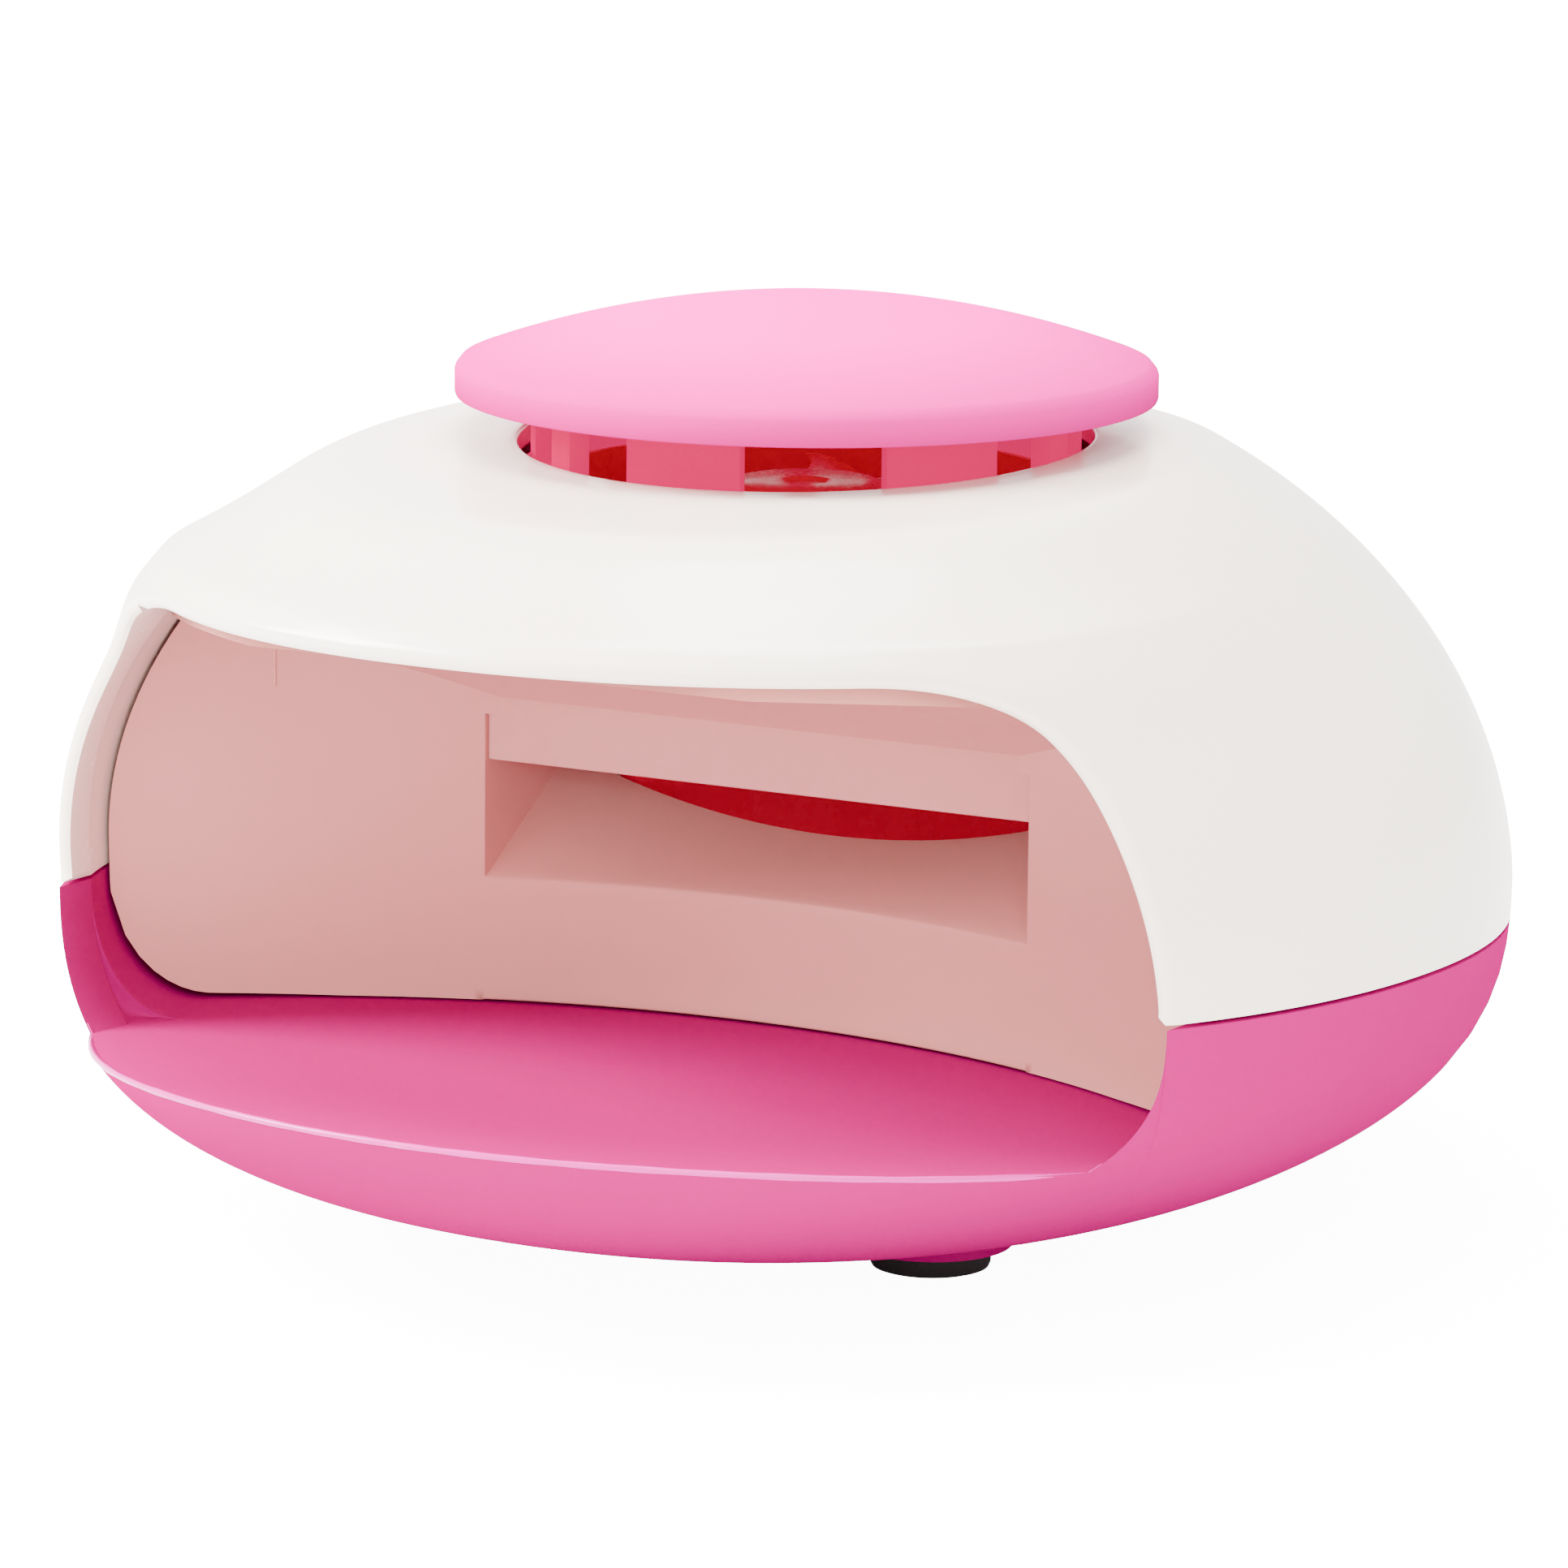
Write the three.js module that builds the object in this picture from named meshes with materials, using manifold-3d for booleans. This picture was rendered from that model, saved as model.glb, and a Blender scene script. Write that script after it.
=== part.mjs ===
// Battery fan nail dryer: an egg-shaped two-part case with an open front, a curved finger panel with
// an air window, a fan duct under a raised lens-shaped intake cap, and a battery box in the base.
// Millimetres, +Z up, the opening faces -Y. The origin is on the ground under the case's centre.
import * as THREE from 'three';
import { mergeVertices } from 'three/addons/utils/BufferGeometryUtils.js';
import Module from 'manifold-3d';

const wasm = await Module();
wasm.setup();

// ---------------------------------------------------------------- driving dimensions
const GAP = 0.3;                    // clearance between neighbouring pieces
const CASE = {
  a: 60, b: 67, power: 2.1,         // half width, half depth and squareness of the plan outline
  zWide: 29.5,                      // height of the widest section
  up: 46.6,                         // height of the flank's ellipse above it
  down: 28, downP: 2.9, downQ: 2.3, // the bowl's superellipse below it
  zFlat: 2.8,                       // flat underside
  crease: 0.6, crownR: 150,         // where the flank meets the shallow crown, and the crown's radius
  lean: -3,                         // forward lean of the crown
  wall: 2,
};
const PARTING = { z: 27, slope: -0.04, gap: 0.36 };
const BROW = { z: 56.2, width: 4.6, out: 2.3 };
const MOUTH = {
  half: 52.6, z: 29.4, up: 41, top: 56.5, crown: 0.4,   // elliptic sides cut off by a nearly flat top
  down: 20, power: 3,                                   // rounded lower corners
};
// dished deck, front edge to back edge, as [y, z]
const DECK = { thick: 2.2, back: 2.4, line: [[-75, 19], [-62, 18.7], [-52, 17.7], [-40, 16.7], [-25, 16], [2.4, 15.8]] };
const HOLE_R = 24.6;                // intake hole in the crown
const FAN = { y: 2, sides: 18 };    // vertical fan axis
const CAP = { r: 30, z: 70.4, rim: 2.3, lensR: 84, wall: 1.8 };
const PANEL = {
  y: -2.4, r: 78, thick: 1.8,       // concave wall: middle, radius and thickness
  bottom: 16.6, front: -50,
  clear: 2.9,                       // inset from the case's outer face
};
// the finger space's ceiling: a quarter ellipse in Y-Z, the same all the way across
const CEILING = { y: -58, depth: 54, z: 37.9, rise: 16.7 };
const WINDOW = { half: 26.4, bottom: 27, lip: 37.4, top: 43.2, y: -6.6 };
const CHUTE = { back: 7.5, z: 31, r: 75, thick: 1.4 };
const PIVOT = { y: -12, z: 47, r: 1.25, x: 44.2 };
const DUCT = { r: 21.6, wall: 1.5, top: 63.5, ringZ: 55.9, bottom: 24, cutY: 8.6 };
const MOTOR = { r: 7.5, z0: 49, z1: 55.7 };
const ROTOR = { r: 19.4, hub: 7, z0: 58, z1: 63.0, blades: 7 };
const CELL = { r: 5.25, length: 44.5, y: [9.4, 22.6], z: 10.8 };
const BOX = { half: 28.2, y0: 2, y1: 30, z1: 14, wall: 1.5, pad: 40 };
const FEET = { r: 5.3, height: 3, pocket: 1.35, front: [20.8, -13], rear: [24, 40] };
const SCREWS = [[44.3, 37.1], [-44.3, 37.1], [0, 61.2]];
const SWITCH_X = 36;

// ---------------------------------------------------------------- solids
const manifoldOf = (geometry) => {
  const bare = geometry.index ? geometry.clone() : geometry;
  bare.deleteAttribute('normal');
  bare.deleteAttribute('uv');
  const g = mergeVertices(bare, 1e-4);
  return new wasm.Manifold(new wasm.Mesh({
    numProp: 3,
    vertProperties: new Float32Array(g.attributes.position.array),
    triVerts: new Uint32Array(g.index.array),
  }));
};
const geometryOf = (manifold) => {
  const mesh = manifold.getMesh();
  const g = new THREE.BufferGeometry();
  g.setAttribute('position', new THREE.BufferAttribute(new Float32Array(mesh.vertProperties), 3));
  g.setIndex(new THREE.BufferAttribute(new Uint32Array(mesh.triVerts), 1));
  return g;
};
const join = (...parts) => parts.reduce((a, b) => a.add(b));
const cut = (body, ...tools) => tools.reduce((a, b) => a.subtract(b), body);

function box(x0, x1, y0, y1, z0, z1) {
  const g = new THREE.BoxGeometry(x1 - x0, y1 - y0, z1 - z0);
  return manifoldOf(g.translate((x0 + x1) / 2, (y0 + y1) / 2, (z0 + z1) / 2));
}
function rod(x, y, z0, z1, r0, r1 = r0, sides = 24) {
  const g = new THREE.CylinderGeometry(r1, r0, z1 - z0, sides).rotateX(Math.PI / 2);
  return manifoldOf(g.translate(x, y, (z0 + z1) / 2));
}
function rodX(x0, x1, y, z, r, sides = 24) {
  const g = new THREE.CylinderGeometry(r, r, x1 - x0, sides).rotateZ(Math.PI / 2);
  return manifoldOf(g.translate((x0 + x1) / 2, y, z));
}
// a closed skin over sections with equal point counts; caps are triangulated in their own plane
function loft(sections, capAxes) {
  const n = sections[0].length;
  const position = sections.flat().flatMap((p) => [p.x, p.y, p.z]);
  const index = [];
  for (let i = 0; i + 1 < sections.length; i++) {
    for (let j = 0; j < n; j++) {
      const a = i * n + j, b = i * n + (j + 1) % n;
      index.push(a, b, b + n, a, b + n, a + n);
    }
  }
  const cap = (section, base, isEnd) => {
    const flat = section.map((p) => new THREE.Vector2(p[capAxes[0]], p[capAxes[1]]));
    const forward = !THREE.ShapeUtils.isClockWise(flat);
    const contour = forward ? flat : [...flat].reverse();
    for (const face of THREE.ShapeUtils.triangulateShape(contour, [])) {
      const [a, b, c] = face.map((k) => base + (forward ? k : n - 1 - k));
      if (forward === isEnd) index.push(a, b, c); else index.push(a, c, b);
    }
  };
  cap(sections[0], 0, false);
  cap(sections[sections.length - 1], (sections.length - 1) * n, true);
  let volume = 0;
  const v = (k) => new THREE.Vector3().fromArray(position, 3 * k);
  for (let k = 0; k < index.length; k += 3) {
    volume += v(index[k]).dot(v(index[k + 1]).cross(v(index[k + 2])));
  }
  const g = new THREE.BufferGeometry();
  g.setAttribute('position', new THREE.Float32BufferAttribute(position, 3));
  g.setIndex(volume < 0 ? index.reverse() : index);
  return manifoldOf(g);
}
const lathe = (points, sides) => manifoldOf(new THREE.LatheGeometry(
  points.map(([r, z]) => new THREE.Vector2(r, z)), sides).rotateX(Math.PI / 2));
const steps = (a, b, n) => Array.from({ length: n + 1 }, (_, i) => a + (b - a) * i / n);

// ---------------------------------------------------------------- the case's egg shape
const crownZ = (r, inset = 0) => {
  const edge = CASE.crease * CASE.a;
  const zEdge = CASE.zWide + CASE.up * Math.sqrt(1 - CASE.crease ** 2);
  return zEdge - inset + (edge * edge - r * r) / (2 * CASE.crownR);
};
// share of the full plan outline at height z
const share = (z, inset) => {
  const d = z - CASE.zWide;
  return d >= 0 ? Math.sqrt(Math.max(0, 1 - (d / (CASE.up - inset)) ** 2))
    : Math.max(0, 1 - (-d / (CASE.down - inset)) ** CASE.downP) ** (1 / CASE.downQ);
};
const leanAt = (z) => {
  const t = THREE.MathUtils.clamp((z - CASE.zWide) / 39, 0, 1);
  return CASE.lean * t * (2 - t);
};
const browAt = (z, sin) => BROW.out * Math.exp(-(((z - BROW.z) / BROW.width) ** 2))
  * THREE.MathUtils.smoothstep(-sin, 0, 0.55);
function ring(z, f, inset, brow, sides) {
  const e = 2 / CASE.power;
  return steps(0, 2 * Math.PI, sides).slice(0, -1).map((t) => {
    const c = Math.cos(t), s = Math.sin(t), out = brow ? browAt(z, s) : 0;
    const x = Math.sign(c) * Math.abs(c) ** e * (CASE.a - inset) * f + out * c;
    const y = Math.sign(s) * Math.abs(s) ** e * (CASE.b - inset) * f + out * s;
    return new THREE.Vector3(x, y + leanAt(z), z);
  });
}
function egg(inset, brow = false, sides = 48) {
  const bowl = [CASE.zFlat + inset, 4.6 + inset, 7 + inset, 10.5, 14.5, 19, 24];
  const flank = brow ? [30, 37, 44, 49, 52, 54.2, 56.2, 58.4, 61, 64] : [30, 37, 44, 50, 55.5, 60.5, 64];
  const rings = [...bowl, ...flank].map((z) => ring(z, share(z, inset), inset, brow, sides));
  for (const f of [CASE.crease, 0.5, 0.36]) {
    rings.push(ring(crownZ(f * CASE.a, inset), f, inset, brow, sides));
  }
  return loft(rings, ['x', 'y']);
}
const deckTop = DECK.line.at(-1)[1];
const partingZ = (y) => PARTING.z + PARTING.slope * y;
// everything above (side 1) or below (side -1) the tilted parting plane
function partingBlock(side) {
  const wedge = (x) => [[-90, 0], [90, 0], [90, 1], [-90, 1]].map(([y, far]) => new THREE.Vector3(
    x, y, far ? side * 120 : partingZ(y) + side * PARTING.gap / 2));
  return loft([wedge(-80), wedge(80)], ['y', 'z']);
}
// the front mouth: its outline in X-Z carried along Y
function mouth(y0, y1) {
  const side = (z) => (z >= MOUTH.z ? Math.sqrt(1 - ((z - MOUTH.z) / MOUTH.up) ** 2)
    : (1 - ((MOUTH.z - z) / MOUTH.down) ** MOUTH.power) ** (1 / MOUTH.power)) * MOUTH.half;
  const edge = [12, 14, 16.5, 20, 25, 29.4, 34, 39, 44, 48.5, 52.5, 55.2].map((z) => [side(z), z]);
  const corner = side(MOUTH.top) - 1;
  const roof = [1, 0.7, 0.35, 0].map((u) => [u * corner, MOUTH.top + MOUTH.crown * (1 - u * u)]);
  const half = [...edge, ...roof];
  const outline = [...half, ...half.slice(0, -1).reverse().map(([x, z]) => [-x, z])];
  const at = (y) => outline.map(([x, z]) => new THREE.Vector3(x, y, z));
  return loft([at(y0), at(y1)], ['x', 'z']);
}
// a block of the given depth above (or, if negative, below) the dished deck line
function deckBlock(depth) {
  const section = (x) => [...DECK.line, ...[...DECK.line].reverse().map(([y, z]) => [y, z + depth])]
    .map(([y, z]) => new THREE.Vector3(x, y, z));
  return loft([section(-70), section(70)], ['y', 'z']);
}
const ringWall = (r0, r1, z0, z1, y, sides = 48) => cut(
  rod(0, y, z0, z1, r1, r1, sides), rod(0, y, z0 - 1, z1 + 1, r0, r0, sides));

// ---------------------------------------------------------------- case pieces
function topShell() {
  let s = cut(egg(0, true), egg(CASE.wall, false, 40)).intersect(partingBlock(1));
  s = cut(s, mouth(-95, -20), rod(0, FAN.y, 60, 75, HOLE_R, HOLE_R, 48));
  const solid = egg(CASE.wall / 2, false, 40).intersect(partingBlock(1));
  for (const side of [-1, 1]) {
    // pivot lug on the side wall, with a blind hole for the hinge pin
    const [x0, x1] = [48.2, 60].map((x) => x * side).sort((a, b) => a - b);
    const lug = box(x0, x1, PIVOT.y - 4, PIVOT.y + 4, PIVOT.z - 3.6, PIVOT.z + 3.6).intersect(solid);
    const [h0, h1] = [46, 50.2].map((x) => x * side).sort((a, b) => a - b);
    s = cut(join(s, lug), rodX(h0, h1, PIVOT.y, PIVOT.z, PIVOT.r + GAP, 16));
  }
  for (const [x, y] of SCREWS) {
    const z0 = partingZ(y) + 0.6;
    const post = rod(x, y, z0, z0 + 10, 3.4, 3.4, 16).intersect(solid);
    s = cut(join(s, post), rod(x, y, z0 - 1, z0 + 8.5, 1.65, 1.65, 12));
  }
  return s;
}

function baseShell() {
  const outer = egg(0), inner = egg(CASE.wall, false, 40);
  let s = join(cut(outer, inner), deckBlock(-DECK.thick).intersect(outer)).intersect(partingBlock(-1));
  s = cut(s, mouth(-95, -20).intersect(deckBlock(60)));
  const inside = egg(CASE.wall / 2).intersect(partingBlock(-1));
  // battery box, with a filled pad on its left where the door slides out
  s = join(s, box(-BOX.half, BOX.half, BOX.y0, BOX.y1, CASE.zFlat, BOX.z1),
    box(-BOX.pad, -BOX.half + 1, BOX.y0, BOX.y1, 5.2, 9.5));
  for (const [x, y] of footPlaces()) {
    s = join(s, rod(x, y, 2, 9, 6.9, 9.4, 24).intersect(
      join(inside, rod(x, y, 1, 4.4, 7.6, 7.6, 24), rod(x, y, 4, 9, 6.9, 6.9, 24))));
  }
  for (const [x, y] of SCREWS) {
    s = join(s, rod(x, y, 8, partingZ(y) - 0.5, 3.9, 3.9, 16).intersect(inside));
  }
  // stand for the switch and the spring, on the deck behind the panel
  const springPost = box(-SWITCH_X - 3, -SWITCH_X + 3, -0.9, 1.1, deckTop - 1, 26);
  s = join(s, springPost);
  const room = BOX.half - BOX.wall;
  s = cut(s,
    box(-room + 0.5, room - 0.5, BOX.y0 + BOX.wall, BOX.y1 - BOX.wall, 4, BOX.z1 + 6),
    box(-BOX.pad - 6, room, BOX.y0 + BOX.wall, BOX.y1 - BOX.wall, 3.6, 5.2),
    box(-BOX.pad - 6, room - 2.2, BOX.y0 + BOX.wall + 2, BOX.y1 - BOX.wall - 2, 1, 4));
  for (const [x, y] of footPlaces()) {
    s = cut(s, rod(x, y, 1, 2 + FEET.pocket, FEET.r + 0.35, FEET.r + 0.35, 24));
  }
  for (const [x, y] of SCREWS) {
    s = cut(s, rod(x, y, 0, 20, 2.9, 2.9, 16), rod(x, y, 19, 40, 1.65, 1.65, 12));
  }
  return s;
}
function footPlaces() {
  return [FEET.front, FEET.rear].flatMap(([x, y]) => [[x, y], [-x, y]]);
}
const foot = ([x, y]) => rod(x, y, 0, FEET.height, FEET.r - 0.25, FEET.r, 24);

// ---------------------------------------------------------------- air path
function domeCap() {
  const top = CAP.z + CAP.rim, edge = CAP.r - 0.8, zEdge = top + 0.8;
  const sag = (r, lensR) => lensR - Math.sqrt(lensR * lensR - r * r);
  const apex = zEdge + sag(edge, CAP.lensR);
  const inR = CAP.r - CAP.wall, inLens = CAP.lensR - CAP.wall;
  const profile = [
    ...steps(0, inR, 6).map((r) => [r, apex - CAP.wall - sag(r, inLens)]),
    [inR, CAP.z], [CAP.r, CAP.z], [CAP.r, top], [CAP.r - 0.25, top + 0.55],
    ...steps(edge, 0, 7).map((r) => [r, apex - sag(r, CAP.lensR)]),
  ];
  return lathe(profile, 48).translate([0, FAN.y, 0]);
}
// flange under the crown, broken ring wall and three pegs that carry the cap
function ventRing() {
  const arcs = cut(ringWall(21.9, 23.5, 65, 73.2, FAN.y), ...steps(0, 300, 5).map((deg) => {
    const half = deg % 120 === 0 ? 19 : 15;
    const far = 40, a = (deg - half) * Math.PI / 180, b = (deg + half) * Math.PI / 180;
    const wedge = (z) => [[0, 0], [far * Math.cos(a), far * Math.sin(a)],
      [far * Math.cos(b), far * Math.sin(b)]].map(([x, y]) => new THREE.Vector3(x, y + FAN.y, z));
    return loft([wedge(65.2), wedge(80)], ['x', 'y']);
  }));
  const pegs = [0, 120, 240].map((deg) => {
    const g = new THREE.BoxGeometry(1.9, 3, 8.4).translate(23.2, 0, 68.7);
    return manifoldOf(g.rotateZ(deg * Math.PI / 180).translate(0, FAN.y, 0));
  });
  return join(ringWall(21.9, 27, 63.8, 65.2, FAN.y), arcs, ...pegs);
}
function fanDuct() {
  const tube = ringWall(DUCT.r, DUCT.r + DUCT.wall, DUCT.bottom, DUCT.top, FAN.y, FAN.sides);
  return cut(tube, box(-40, 40, -40, DUCT.cutY, 0, DUCT.ringZ));
}
const ductFloor = () => cut(
  rod(0, FAN.y, DUCT.bottom - 1.8, DUCT.bottom - GAP, DUCT.r + DUCT.wall, undefined, FAN.sides),
  box(-40, 40, -40, DUCT.cutY, 0, 60));
function motorBracket() {
  const z0 = MOTOR.z1 + GAP, z1 = z0 + 1.2;
  const arms = [30, 150, 270].map((deg) => {
    const g = new THREE.BoxGeometry(15, 3.2, 1.2).translate(13.2, 0, (z0 + z1) / 2);
    return manifoldOf(g.rotateZ(deg * Math.PI / 180).translate(0, FAN.y, 0));
  });
  return cut(join(rod(0, FAN.y, z0, z1, 8, 8, 24), ...arms), rod(0, FAN.y, z0 - 1, z1 + 1, 1.7, 1.7, 16));
}
const motorCan = () => cut(join(
  rod(0, FAN.y, MOTOR.z0, MOTOR.z1 - 0.8, MOTOR.r), rod(0, FAN.y, MOTOR.z1 - 1, MOTOR.z1, 3)),
rod(0, FAN.y, MOTOR.z1 - 3, MOTOR.z1 + 1, 1.4, 1.4, 16));
const motorShaft = () => rod(0, FAN.y, MOTOR.z1 - 2.4, ROTOR.z0 + 4, 1, 1, 16);
function impeller() {
  const hub = cut(rod(0, FAN.y, ROTOR.z0, ROTOR.z1, ROTOR.hub),
    rod(0, FAN.y, ROTOR.z0 - 1, ROTOR.z0 + 4.4, 1 + GAP, 1 + GAP, 16));
  const blades = Array.from({ length: ROTOR.blades }, (_, k) => {
    const section = (r, pitch) => {
      const chord = 4.6 + 0.16 * r, c = Math.cos(pitch), s = Math.sin(pitch);
      return [[-1, -1], [1, -1], [1, 1], [-1, 1]].map(([u, v]) => {
        const y = u * chord / 2, z = v * 0.6;
        return new THREE.Vector3(r, c * y - s * z, (ROTOR.z0 + ROTOR.z1) / 2 + s * y + c * z);
      });
    };
    const blade = loft([section(6, 0.72), section(13, 0.58), section(ROTOR.r, 0.46)], ['y', 'z']);
    return blade.rotate([0, 0, k * 360 / ROTOR.blades]).translate([0, FAN.y, 0]);
  });
  return join(hub, ...blades);
}

// ---------------------------------------------------------------- finger panel
const panelY = (x) => PANEL.y - (PANEL.r - Math.sqrt(PANEL.r ** 2 - x * x));
const ceilingZ = (y) => {
  const t = THREE.MathUtils.clamp((y - CEILING.y) / CEILING.depth, 0, 1);
  return CEILING.z + CEILING.rise * Math.sqrt(1 - t * t);
};
function fingerPanel() {
  const t = PANEL.thick, far = PANEL.front - 20;
  const section = (x) => {
    const y0 = panelY(x), start = Math.min(y0, CEILING.y + CEILING.depth);
    const line = [0, 0.012, 0.04, 0.09, 0.17, 0.29, 0.46, 0.7, 1].map((k) => start + (CEILING.y - start) * k);
    const front = [[y0, PANEL.bottom], [y0, ceilingZ(y0)], ...line.slice(1).map((y) => [y, ceilingZ(y)]),
      [far, CEILING.z + CEILING.rise]];
    const back = [[far, CEILING.z + CEILING.rise + t],
      ...line.slice(2).reverse().map((y) => [y + t * 0.6, ceilingZ(y) + t * 0.85]),
      [y0 + t, ceilingZ(y0) + t * 0.9], [y0 + t, PANEL.bottom]];
    return [...front, ...back].map(([y, z]) => new THREE.Vector3(x, y, z));
  };
  const skin = loft(steps(-57, 57, 18).map(section), ['y', 'z']);
  const limit = egg(PANEL.clear, false, 48).intersect(box(-70, 70, PANEL.front, 20, 10, 70));
  let s = cut(skin.intersect(limit),
    box(-WINDOW.half, WINDOW.half, -25, 5, WINDOW.bottom, WINDOW.top - 1.7));
  const lip = join(
    box(-WINDOW.half + 0.2, WINDOW.half - 0.2, WINDOW.y, WINDOW.y + 1.6, WINDOW.lip, WINDOW.top),
    box(-WINDOW.half + 0.2, WINDOW.half - 0.2, WINDOW.y, PANEL.y + 0.8, WINDOW.top - 1.5, WINDOW.top));
  s = join(s, lip);
  for (const side of [-1, 1]) {
    const [x0, x1] = [PIVOT.x - 1.6, PIVOT.x + 0.9].map((x) => x * side).sort((a, b) => a - b);
    const arm = box(x0, x1, panelY(PIVOT.x) + 0.9, PIVOT.y + 3.4, PIVOT.z - 3.4, PIVOT.z + 3.4);
    const [h0, h1] = [PIVOT.x - 5, PIVOT.x + 6].map((x) => x * side).sort((a, b) => a - b);
    s = cut(join(s, arm.intersect(limit)), rodX(h0, h1, PIVOT.y, PIVOT.z, PIVOT.r + GAP, 16));
  }
  return s;
}
function airChute() {
  const rise = (x) => CHUTE.z + CHUTE.r - Math.sqrt(CHUTE.r ** 2 - x * x);
  const section = (x) => {
    const yFront = panelY(x) + PANEL.thick + 0.4, zFront = WINDOW.bottom - 0.3;
    return [[yFront, zFront], [CHUTE.back, rise(x)], [CHUTE.back, rise(x) - CHUTE.thick],
      [yFront, zFront - CHUTE.thick]].map(([y, z]) => new THREE.Vector3(x, y, z));
  };
  const outer = WINDOW.half + 1.6;
  const cheeks = [-outer, outer - 1.4].map((x) => box(x, x + 1.4, -4.9, CHUTE.back, 25.3, 40.5));
  return join(loft(steps(-outer, outer, 12).map(section), ['y', 'z']), ...cheeks);
}
const hingePin = (side) => {
  const [x0, x1] = [PIVOT.x - 3.4, 49.8].map((x) => x * side).sort((a, b) => a - b);
  return rodX(x0, x1, PIVOT.y, PIVOT.z, PIVOT.r, 16);
};

// ---------------------------------------------------------------- electrics
const switchBody = () => cut(
  box(SWITCH_X - 6, SWITCH_X + 6, -5.3, 0.5, deckTop + GAP, 25.8),
  box(SWITCH_X - 1.9, SWITCH_X + 1.9, -6, -2.5, 21.1, 24.9));
const switchPlunger = () => box(SWITCH_X - 1.5, SWITCH_X + 1.5, -7.8, -3.9, 21.5, 24.5);
function coil(radius, wire, length, turns) {
  class Helix extends THREE.Curve {
    getPoint(t, target = new THREE.Vector3()) {
      const a = 2 * Math.PI * turns * t;
      return target.set(radius * Math.cos(a), radius * Math.sin(a), length * t);
    }
  }
  return sweep(new Helix(), wire, turns * 10, 6);
}
function sweep(path, r, count, sides) {
  const shape = new THREE.Shape(steps(0, 2 * Math.PI, sides).slice(0, -1).map(
    (t) => new THREE.Vector2(r * Math.cos(t), r * Math.sin(t))));
  return manifoldOf(new THREE.ExtrudeGeometry(shape, { steps: count, bevelEnabled: false, extrudePath: path }));
}
const returnSpring = () => coil(2.4, 0.35, 5.2, 4).rotate([90, 0, 0]).translate([-SWITCH_X, -1.4, 22.8]);
const batterySpring = (k) => {
  const side = k ? 1 : -1;
  return coil(2.6, 0.3, 1.7, 2).rotate([0, 90, 0]).translate([side > 0 ? 23.1 : -24.8, CELL.y[k], CELL.z]);
};
function cell(k) {
  const nub = k ? -1 : 1, x = nub * 1.0, half = CELL.length / 2;
  const tip = [half - 0.5, half + 0.9].map((d) => x + nub * d).sort((a, b) => a - b);
  return join(rodX(x - half, x + half, CELL.y[k], CELL.z, CELL.r),
    rodX(tip[0], tip[1], CELL.y[k], CELL.z, 1.9, 16));
}
const contact = (side) => {
  const [x0, x1] = [25.2, 25.8].map((x) => x * side).sort((a, b) => a - b);
  return box(x0, x1, 5.5, 26.5, 6, BOX.z1 + 1);
};
function batteryDoor() {
  const room = BOX.half - BOX.wall - GAP, y0 = BOX.y0 + BOX.wall + GAP, y1 = BOX.y1 - BOX.wall - GAP;
  return join(box(-BOX.half - 5, room - 2.2, y0 + 2, y1 - 2, 2.9, 4.4),
    box(-BOX.half - 1, room, y0, y1, 3.9, 4.9));
}
// one lead per side, from the contact plate up past the chute to the motor
function lead(side) {
  const route = [[26.2, 12, 16.2], [29.5, 10.5, 20], [31.6, 9, 28], [31.8, 8, 38], [26, 6, 46],
    [16, 4, 50], [8.4, 2.6, 51.5]];
  const path = new THREE.CatmullRomCurve3(route.map(([x, y, z]) => new THREE.Vector3(x * side, y, z)));
  return sweep(path, 0.7, 22, 8);
}
function caseScrew([x, y]) {
  const head = cut(rod(x, y, 16.8, 18.7, 2.4, 2.5, 20), box(x - 1.7, x + 1.7, y - 0.3, y + 0.3, 16, 17.6),
    box(x - 0.3, x + 0.3, y - 1.7, y + 1.7, 16, 17.6));
  return join(head, rod(x, y, 18.5, partingZ(y) + 8.4, 1.3, 1.3, 12));
}

// ---------------------------------------------------------------- materials and assembly
const plastic = (color, roughness) => new THREE.MeshStandardMaterial({ color, roughness, metalness: 0 });
const metal = (color, roughness) => new THREE.MeshStandardMaterial({ color, roughness, metalness: 1 });
const LOOK = {
  white: plastic(0xf2ece8, 0.22), panel: plastic(0xecdedb, 0.34), pink: plastic(0xef7ab8, 0.26),
  cap: plastic(0xfd8fc6, 0.16), crimson: plastic(0xd52a5a, 0.35), rubber: plastic(0x181212, 0.75),
  black: plastic(0x1d1d20, 0.5), steel: metal(0xb8babd, 0.3), brass: metal(0xc8a458, 0.35),
  jacket: plastic(0x3a6a48, 0.35), red: plastic(0xb3161c, 0.5),
};
const dryer = new THREE.Group();
function put(name, solid, material) {
  const mesh = new THREE.Mesh(geometryOf(solid), material);
  mesh.name = name;
  dryer.add(mesh);
}

put('top_shell', topShell(), LOOK.white);
put('base_shell', baseShell(), LOOK.pink);
put('dome_cap', domeCap(), LOOK.cap);
put('vent_ring', ventRing(), LOOK.crimson);
put('finger_panel', fingerPanel(), LOOK.panel);
put('air_chute', airChute(), LOOK.panel);
put('fan_duct', fanDuct(), LOOK.crimson);
put('duct_floor', ductFloor(), LOOK.crimson);
put('motor_bracket', motorBracket(), LOOK.crimson);
put('motor_can', motorCan(), LOOK.steel);
put('motor_shaft', motorShaft(), LOOK.steel);
put('impeller', impeller(), LOOK.crimson);
put('switch_body', switchBody(), LOOK.black);
put('switch_plunger', switchPlunger(), LOOK.red);
put('return_spring', returnSpring(), LOOK.steel);
put('battery_door', batteryDoor(), LOOK.pink);
[0, 1].forEach((k) => {
  put(`cell_${k + 1}`, cell(k), LOOK.jacket);
  put(`battery_spring_${k + 1}`, batterySpring(k), LOOK.steel);
});
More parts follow.
